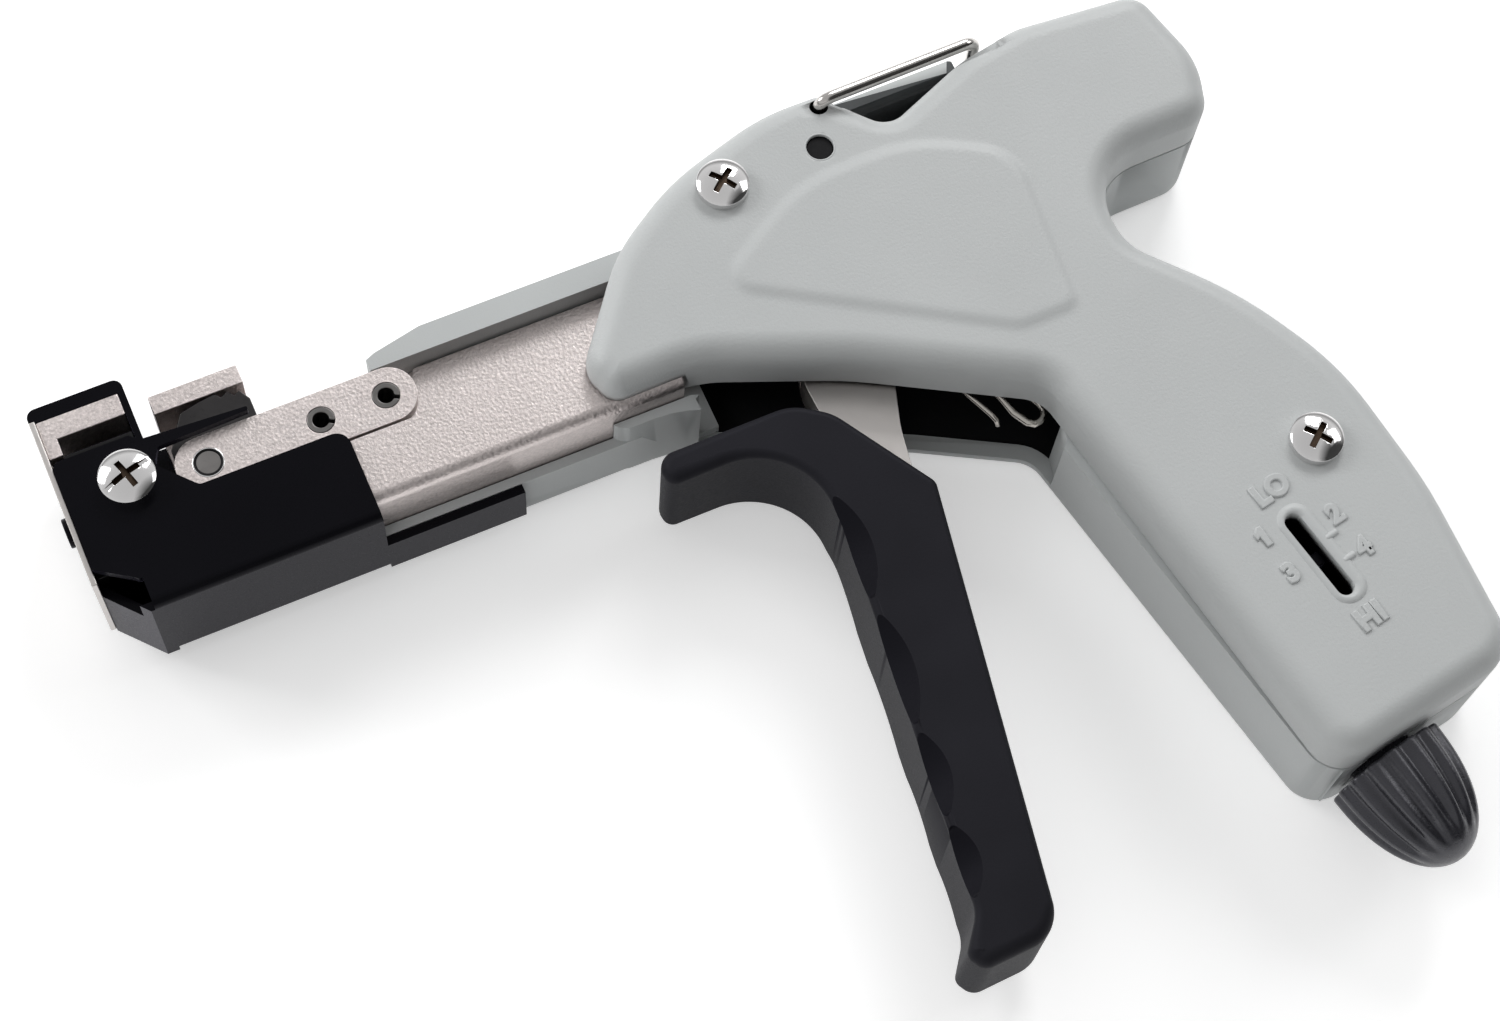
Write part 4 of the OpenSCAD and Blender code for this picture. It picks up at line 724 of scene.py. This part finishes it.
# The straight leg of the trigger's return spring, which rides on the trigger
SPRING_LEG = [(4.6, -38.0, 16.6), (7.0, -43.5, 16.6), (8.2, -46.3, 16.5), (8.6, -47.2, 16.1),
              (8.8, -47.6, 15.0)]
SPRING_LEG_R = 0.42


def build_spring_leg():
    o = tube("trigger_spring_leg", SPRING_LEG, SPRING_LEG_R, 16)
    o.data.materials.append(MAT["spring"])
    o.data.shade_smooth()
    return o


# The knob: a dome with soft ribs, in its own frame round the tension axis
KNOB_BASE, KNOB_LENGTH, KNOB_R, KNOB_STEM_R, KNOB_STEM = -0.3, 17.6, 9.4, 5.0, 4.2
FLUTES, FLUTE_DEPTH, FLUTE_START, FLUTE_SWELL = 16, 0.85, 0.85, 0.3
FLUTE_FADE, FLUTE_END, FLUTE_SHARPNESS = 0.62, 0.93, 1.3
KNOB_EDGE, KNOB_SHOULDER, KNOB_FULLNESS = 0.45, 0.9, 2.3


def build_knob():
    columns, rows, edge = FLUTES * 14, 40, KNOB_EDGE
    rings = [(KNOB_STEM_R, KNOB_STEM, 0), (KNOB_STEM_R, KNOB_BASE, 0),
             (KNOB_R - edge - KNOB_SHOULDER, KNOB_BASE, 0)]
    for k in range(5):
        a = math.radians(22.5 * k)
        r = KNOB_R - edge * (1 - math.sin(a))
        rings.append((r, KNOB_BASE - edge * (1 - math.cos(a)), FLUTE_START))
    for k in range(1, rows):
        share = edge / KNOB_LENGTH + (1 - edge / KNOB_LENGTH) * math.sin(math.pi / 2 * k / rows)
        depth = FLUTE_START + FLUTE_SWELL * math.sin(math.pi * min(share / 0.8, 1))
        depth *= 1 - smooth_step(FLUTE_FADE, FLUTE_END, share)
        r = KNOB_R * math.sqrt(max(0, 1 - share ** KNOB_FULLNESS))
        rings.append((r, KNOB_BASE - KNOB_LENGTH * share, depth))
    verts = []
    for r, y, depth in rings:
        for j in range(columns):
            a = 2 * math.pi * j / columns
            cut = (0.5 + 0.5 * math.cos(FLUTES * a)) ** FLUTE_SHARPNESS
            here = r - FLUTE_DEPTH * depth * cut
            p = on_axis(here * math.cos(a), y)
            verts.append((p.x, p.y, MID_Z + here * math.sin(a)))
    faces = bands(len(rings), columns)
    tip = on_axis(0, KNOB_BASE - KNOB_LENGTH)
    verts.append((tip.x, tip.y, MID_Z))
    last = (len(rings) - 1) * columns
    faces += [(last + j, last + (j + 1) % columns, len(verts) - 1) for j in range(columns)]
    faces.append(tuple(range(columns - 1, -1, -1)))
    o = mesh_object("tension_knob_ribbed", verts, faces)
    o.data.materials.append(MAT["knob_black"])
    o.data.shade_smooth()
    weigh_normals(o)
    return o


# The grip: a moulding with soft edges and four finger grooves cut across each front edge
GRIP = [
    (-42.0, -40.2, 1.8), (-21.5, -40.0, 12.0), (-21.3, -56.0, 20.0), (-28.4, -115.5, 6.0),
    (-32.2, -120.5, 1.6), (-30.6, -123.3, 2.4), (-18.6, -122.8, 5.5), (-5.8, -54.8, 2.0),
    (-15.3, -39.0, 8.0), (-20.5, -35.4, 8.0), (-42.6, -35.2, 2.7)]
GRIP_LOW, GRIP_HIGH, GRIP_ROUND = 4.15, 23.35, 1.2
GROOVE_CUSPS = [-49.7, -67.5, -87.0, -101.5, -113.8]
GROOVE_DEPTH, GROOVE_INTO, GROOVE_LEAD, GROOVE_RUN = 3.0, 2.2, -4.0, 19.0
SLOT_PLAY = 0.1
SOFTER_BY, TIP_X, TIP_SHARE, BOTTOM_Y = 1.1, (-26.0, -38.0), 0.55, (-116.0, -122.0)


def edge_round(p):
    """Radius of the moulding's edge at a point of its outline: softer at the tip and the end."""
    tip = smooth_step(*TIP_X, p.x) * TIP_SHARE
    bottom = smooth_step(*BOTTOM_Y, p.y)
    return GRIP_ROUND + SOFTER_BY * max(tip, bottom)


def rounded_block(name, corners, low, high, steps=10, turn=3.0):
    outer, inner = outline(corners, turn), outline(inset(corners, 1.0), turn)
    n = len(outer)
    verts = []
    for z0, side in ((low, 1), (high, -1)):
        for k in range(steps + 1):
            a = math.radians(90 * (steps - k if side > 0 else k) / steps)
            for p, q in zip(outer, inner):
                r = edge_round(p)
                place = p + (q - p) * r * (1 - math.cos(a))
                verts.append((place.x, place.y, z0 + side * r * (1 - math.sin(a))))
    rows = 2 * (steps + 1)
    ends = [tuple(range(n - 1, -1, -1)), tuple(range((rows - 1) * n, rows * n))]
    return mesh_object(name, verts, bands(rows, n) + ends)


def groove_cutter(upper, lower, side):
    y = (upper + lower) / 2
    depth = GROOVE_DEPTH * GROOVE_INTO / math.hypot(GROOVE_DEPTH, GROOVE_INTO)
    half = (upper - lower) / 2
    r = (half * half + depth * depth) / (2 * depth)
    slope = (GRIP[2][0] - GRIP[3][0]) / (GRIP[2][1] - GRIP[3][1])
    front = GRIP[2][0] + (y - GRIP[2][1]) * slope
    tilt = math.atan2(GROOVE_INTO, GROOVE_DEPTH)
    n = 256
    verts = []
    for x in (GROOVE_LEAD, GROOVE_RUN):
        for k in range(n):
            a = 2 * math.pi * k / n
            across, up = r * math.sin(a), r - depth + r * math.cos(a)
            verts.append((front + x * math.cos(tilt) - up * math.sin(tilt), y + across,
                          x * math.sin(tilt) + up * math.cos(tilt)))
    z = GRIP_HIGH if side > 0 else GRIP_LOW
    verts = [(vx, vy, z + side * vz) for vx, vy, vz in verts]
    faces = bridge(0, n, n) + [tuple(range(n - 1, -1, -1)), tuple(range(n, 2 * n))]
    o = mesh_object("groove", verts, faces)
    bm = bmesh.new()
    bm.from_mesh(o.data)
    bmesh.ops.recalc_face_normals(bm, faces=bm.faces)
    bm.to_mesh(o.data)
    bm.free()
    return o


def build_grip():
    o = rounded_block("trigger_grip_moulding", GRIP, GRIP_LOW, GRIP_HIGH)
    o.data.materials.append(MAT["grip_black"])
    cutters = [groove_cutter(a, b, side)
               for a, b in zip(GROOVE_CUSPS, GROOVE_CUSPS[1:]) for side in (-1, 1)]
    # The grooves' faces take the darker black, painted shade in the grooves
    for c in cutters:
        c.data.materials.append(MAT["groove_shade_black"])
    cut_by(o, cutters)
    levels = heights(NODES["trigger_lever"])
    slot = prism("lever_slot", outline(inset(LEVER, -SLOT_PLAY)),
                 min(levels) - SLOT_PLAY, max(levels) + SLOT_PLAY)
    slot.data.materials.append(MAT["grip_black"])
    cut_by(o, [slot])
    o.data.shade_smooth()
    dissolve_flats(o, 0.3)
    bevel_edges(o, 14, 0.2, 3)
    weigh_normals(o)
    return o


# Studio: a white floor that keeps the shadow, soft lamps, and a pale world with one dark side.
# The world's grey by height, then the direction of its dark side, the cosines where it begins and
# ends, and the world's strength there
SKY = [(0.0, 0.80), (0.10, 0.75), (0.17, 0.30), (0.27, 0.30), (0.40, 0.66), (0.72, 0.56),
       (1.0, 0.50)]
DARK_SIDE, DARK_COSINES, SKY_STRENGTHS = Vector((0.62, -0.60, 0.50)), (0.70, 0.90), (1.06, 0.08)
FLOOR_TONE, FLOOR_GLOW, FLOOR_HALF, FLOOR_DROP = 0.90, 0.40, 4.0, 0.00003
# Name, place, target, side and power of each lamp
LAMPS = [
    ("key", (0.60, 0.80, 0.80), (-0.02, -0.03, 0), 0.5, 6.2),
    ("fill", (-0.75, 0.70, 0.55), (-0.02, -0.03, 0), 0.5, 4.6),
    ("side", (0.75, 0.0, 0.60), (0.06, -0.10, 0), 0.35, 0.9)]


def floor_material():
    """White that glows a little where the camera or a mirror sees it, for a white background."""
    m, t, s = nodes_of("floor_white")
    s.inputs["Base Color"].default_value = (FLOOR_TONE, FLOOR_TONE, FLOOR_TONE, 1)
    s.inputs["Roughness"].default_value = 0.9
    s.inputs["Specular IOR Level"].default_value = 0.0
    glow = add(t, "ShaderNodeEmission")
    glow.inputs["Color"].default_value = (1, 1, 1, 1)
    path = add(t, "ShaderNodeLightPath")
    both = add(t, "ShaderNodeMath", operation="MAXIMUM")
    all_three = add(t, "ShaderNodeMath", operation="MAXIMUM")
    t.links.new(path.outputs["Is Camera Ray"], both.inputs[0])
    t.links.new(path.outputs["Is Glossy Ray"], both.inputs[1])
    t.links.new(both.outputs[0], all_three.inputs[0])
    t.links.new(path.outputs["Is Transmission Ray"], all_three.inputs[1])
    scale = add(t, "ShaderNodeMath", operation="MULTIPLY")
    scale.inputs[1].default_value = FLOOR_GLOW
    t.links.new(all_three.outputs[0], scale.inputs[0])
    t.links.new(scale.outputs[0], glow.inputs["Strength"])
    total = add(t, "ShaderNodeAddShader")
    t.links.new(s.outputs[0], total.inputs[0])
    t.links.new(glow.outputs[0], total.inputs[1])
    t.links.new(total.outputs[0], t.nodes["Material Output"].inputs["Surface"])
    return m


def make_floor():
    mesh = bpy.data.meshes.new("floor")
    r = FLOOR_HALF
    mesh.from_pydata([(-r, -r, 0), (r, -r, 0), (r, r, 0), (-r, r, 0)], [], [(0, 1, 2, 3)])
    floor = bpy.data.objects.new("floor", mesh)
    floor.location.z = -FLOOR_DROP
    floor.data.materials.append(floor_material())
    bpy.context.scene.collection.objects.link(floor)


def make_lamp(name, place, target, side, power):
    data = bpy.data.lights.new(name, "AREA")
    data.shape = "RECTANGLE"
    data.size = side
    data.size_y = side
    data.energy = power
    o = bpy.data.objects.new(name, data)
    o.location = place
    o.rotation_euler = (Vector(target) - Vector(place)).to_track_quat("-Z", "Y").to_euler()
    bpy.context.scene.collection.objects.link(o)


def make_world():
    world = bpy.data.worlds.new("world")
    world.use_nodes = True
    w = world.node_tree
    background = w.nodes["Background"].inputs
    direction = add(w, "ShaderNodeTexCoord").outputs["Generated"]
    apart = add(w, "ShaderNodeSeparateXYZ")
    w.links.new(direction, apart.inputs[0])
    ramp = add(w, "ShaderNodeValToRGB")
    for place, _ in SKY[1:-1]:
        ramp.color_ramp.elements.new(place)
    for element, (place, level) in zip(ramp.color_ramp.elements, SKY):
        element.position = place
        element.color = (level, level, level, 1)
    w.links.new(apart.outputs["Z"], ramp.inputs["Fac"])
    w.links.new(ramp.outputs["Color"], background["Color"])
    toward = add(w, "ShaderNodeVectorMath", operation="DOT_PRODUCT")
    toward.inputs[1].default_value = DARK_SIDE.normalized()
    w.links.new(direction, toward.inputs[0])
    strength = span(w, toward.outputs["Value"], *DARK_COSINES, *SKY_STRENGTHS)
    w.links.new(strength, background["Strength"])
    bpy.context.scene.world = world
    bpy.context.scene.view_settings.view_transform = "Standard"


for node_name in NODES:
    finish_node(node_name)
darken_inside(NODES["far_housing"])
darken_recess(NODES["housing_screws"], SCREWS, TOP_Z)
darken_recess(NODES["nose_screw"], [NOSE_SCREW], NOSE_NEAR_Z)
cover = build_cover()
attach(cover, "frame")
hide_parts("near_cover")
knob = build_knob()
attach(knob, "knob")
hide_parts("tension_knob")
grip = build_grip()
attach(grip, "trigger")
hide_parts("trigger_grip")
bail = build_bail()
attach(bail, "bail")
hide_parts("hanging_bail")
spring_leg = build_spring_leg()
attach(spring_leg, "trigger")
pin_seat = build_pin_seat()
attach(pin_seat, "carriage")
make_camera()
make_floor()
for lamp in LAMPS:
    make_lamp(*lamp)
make_world()
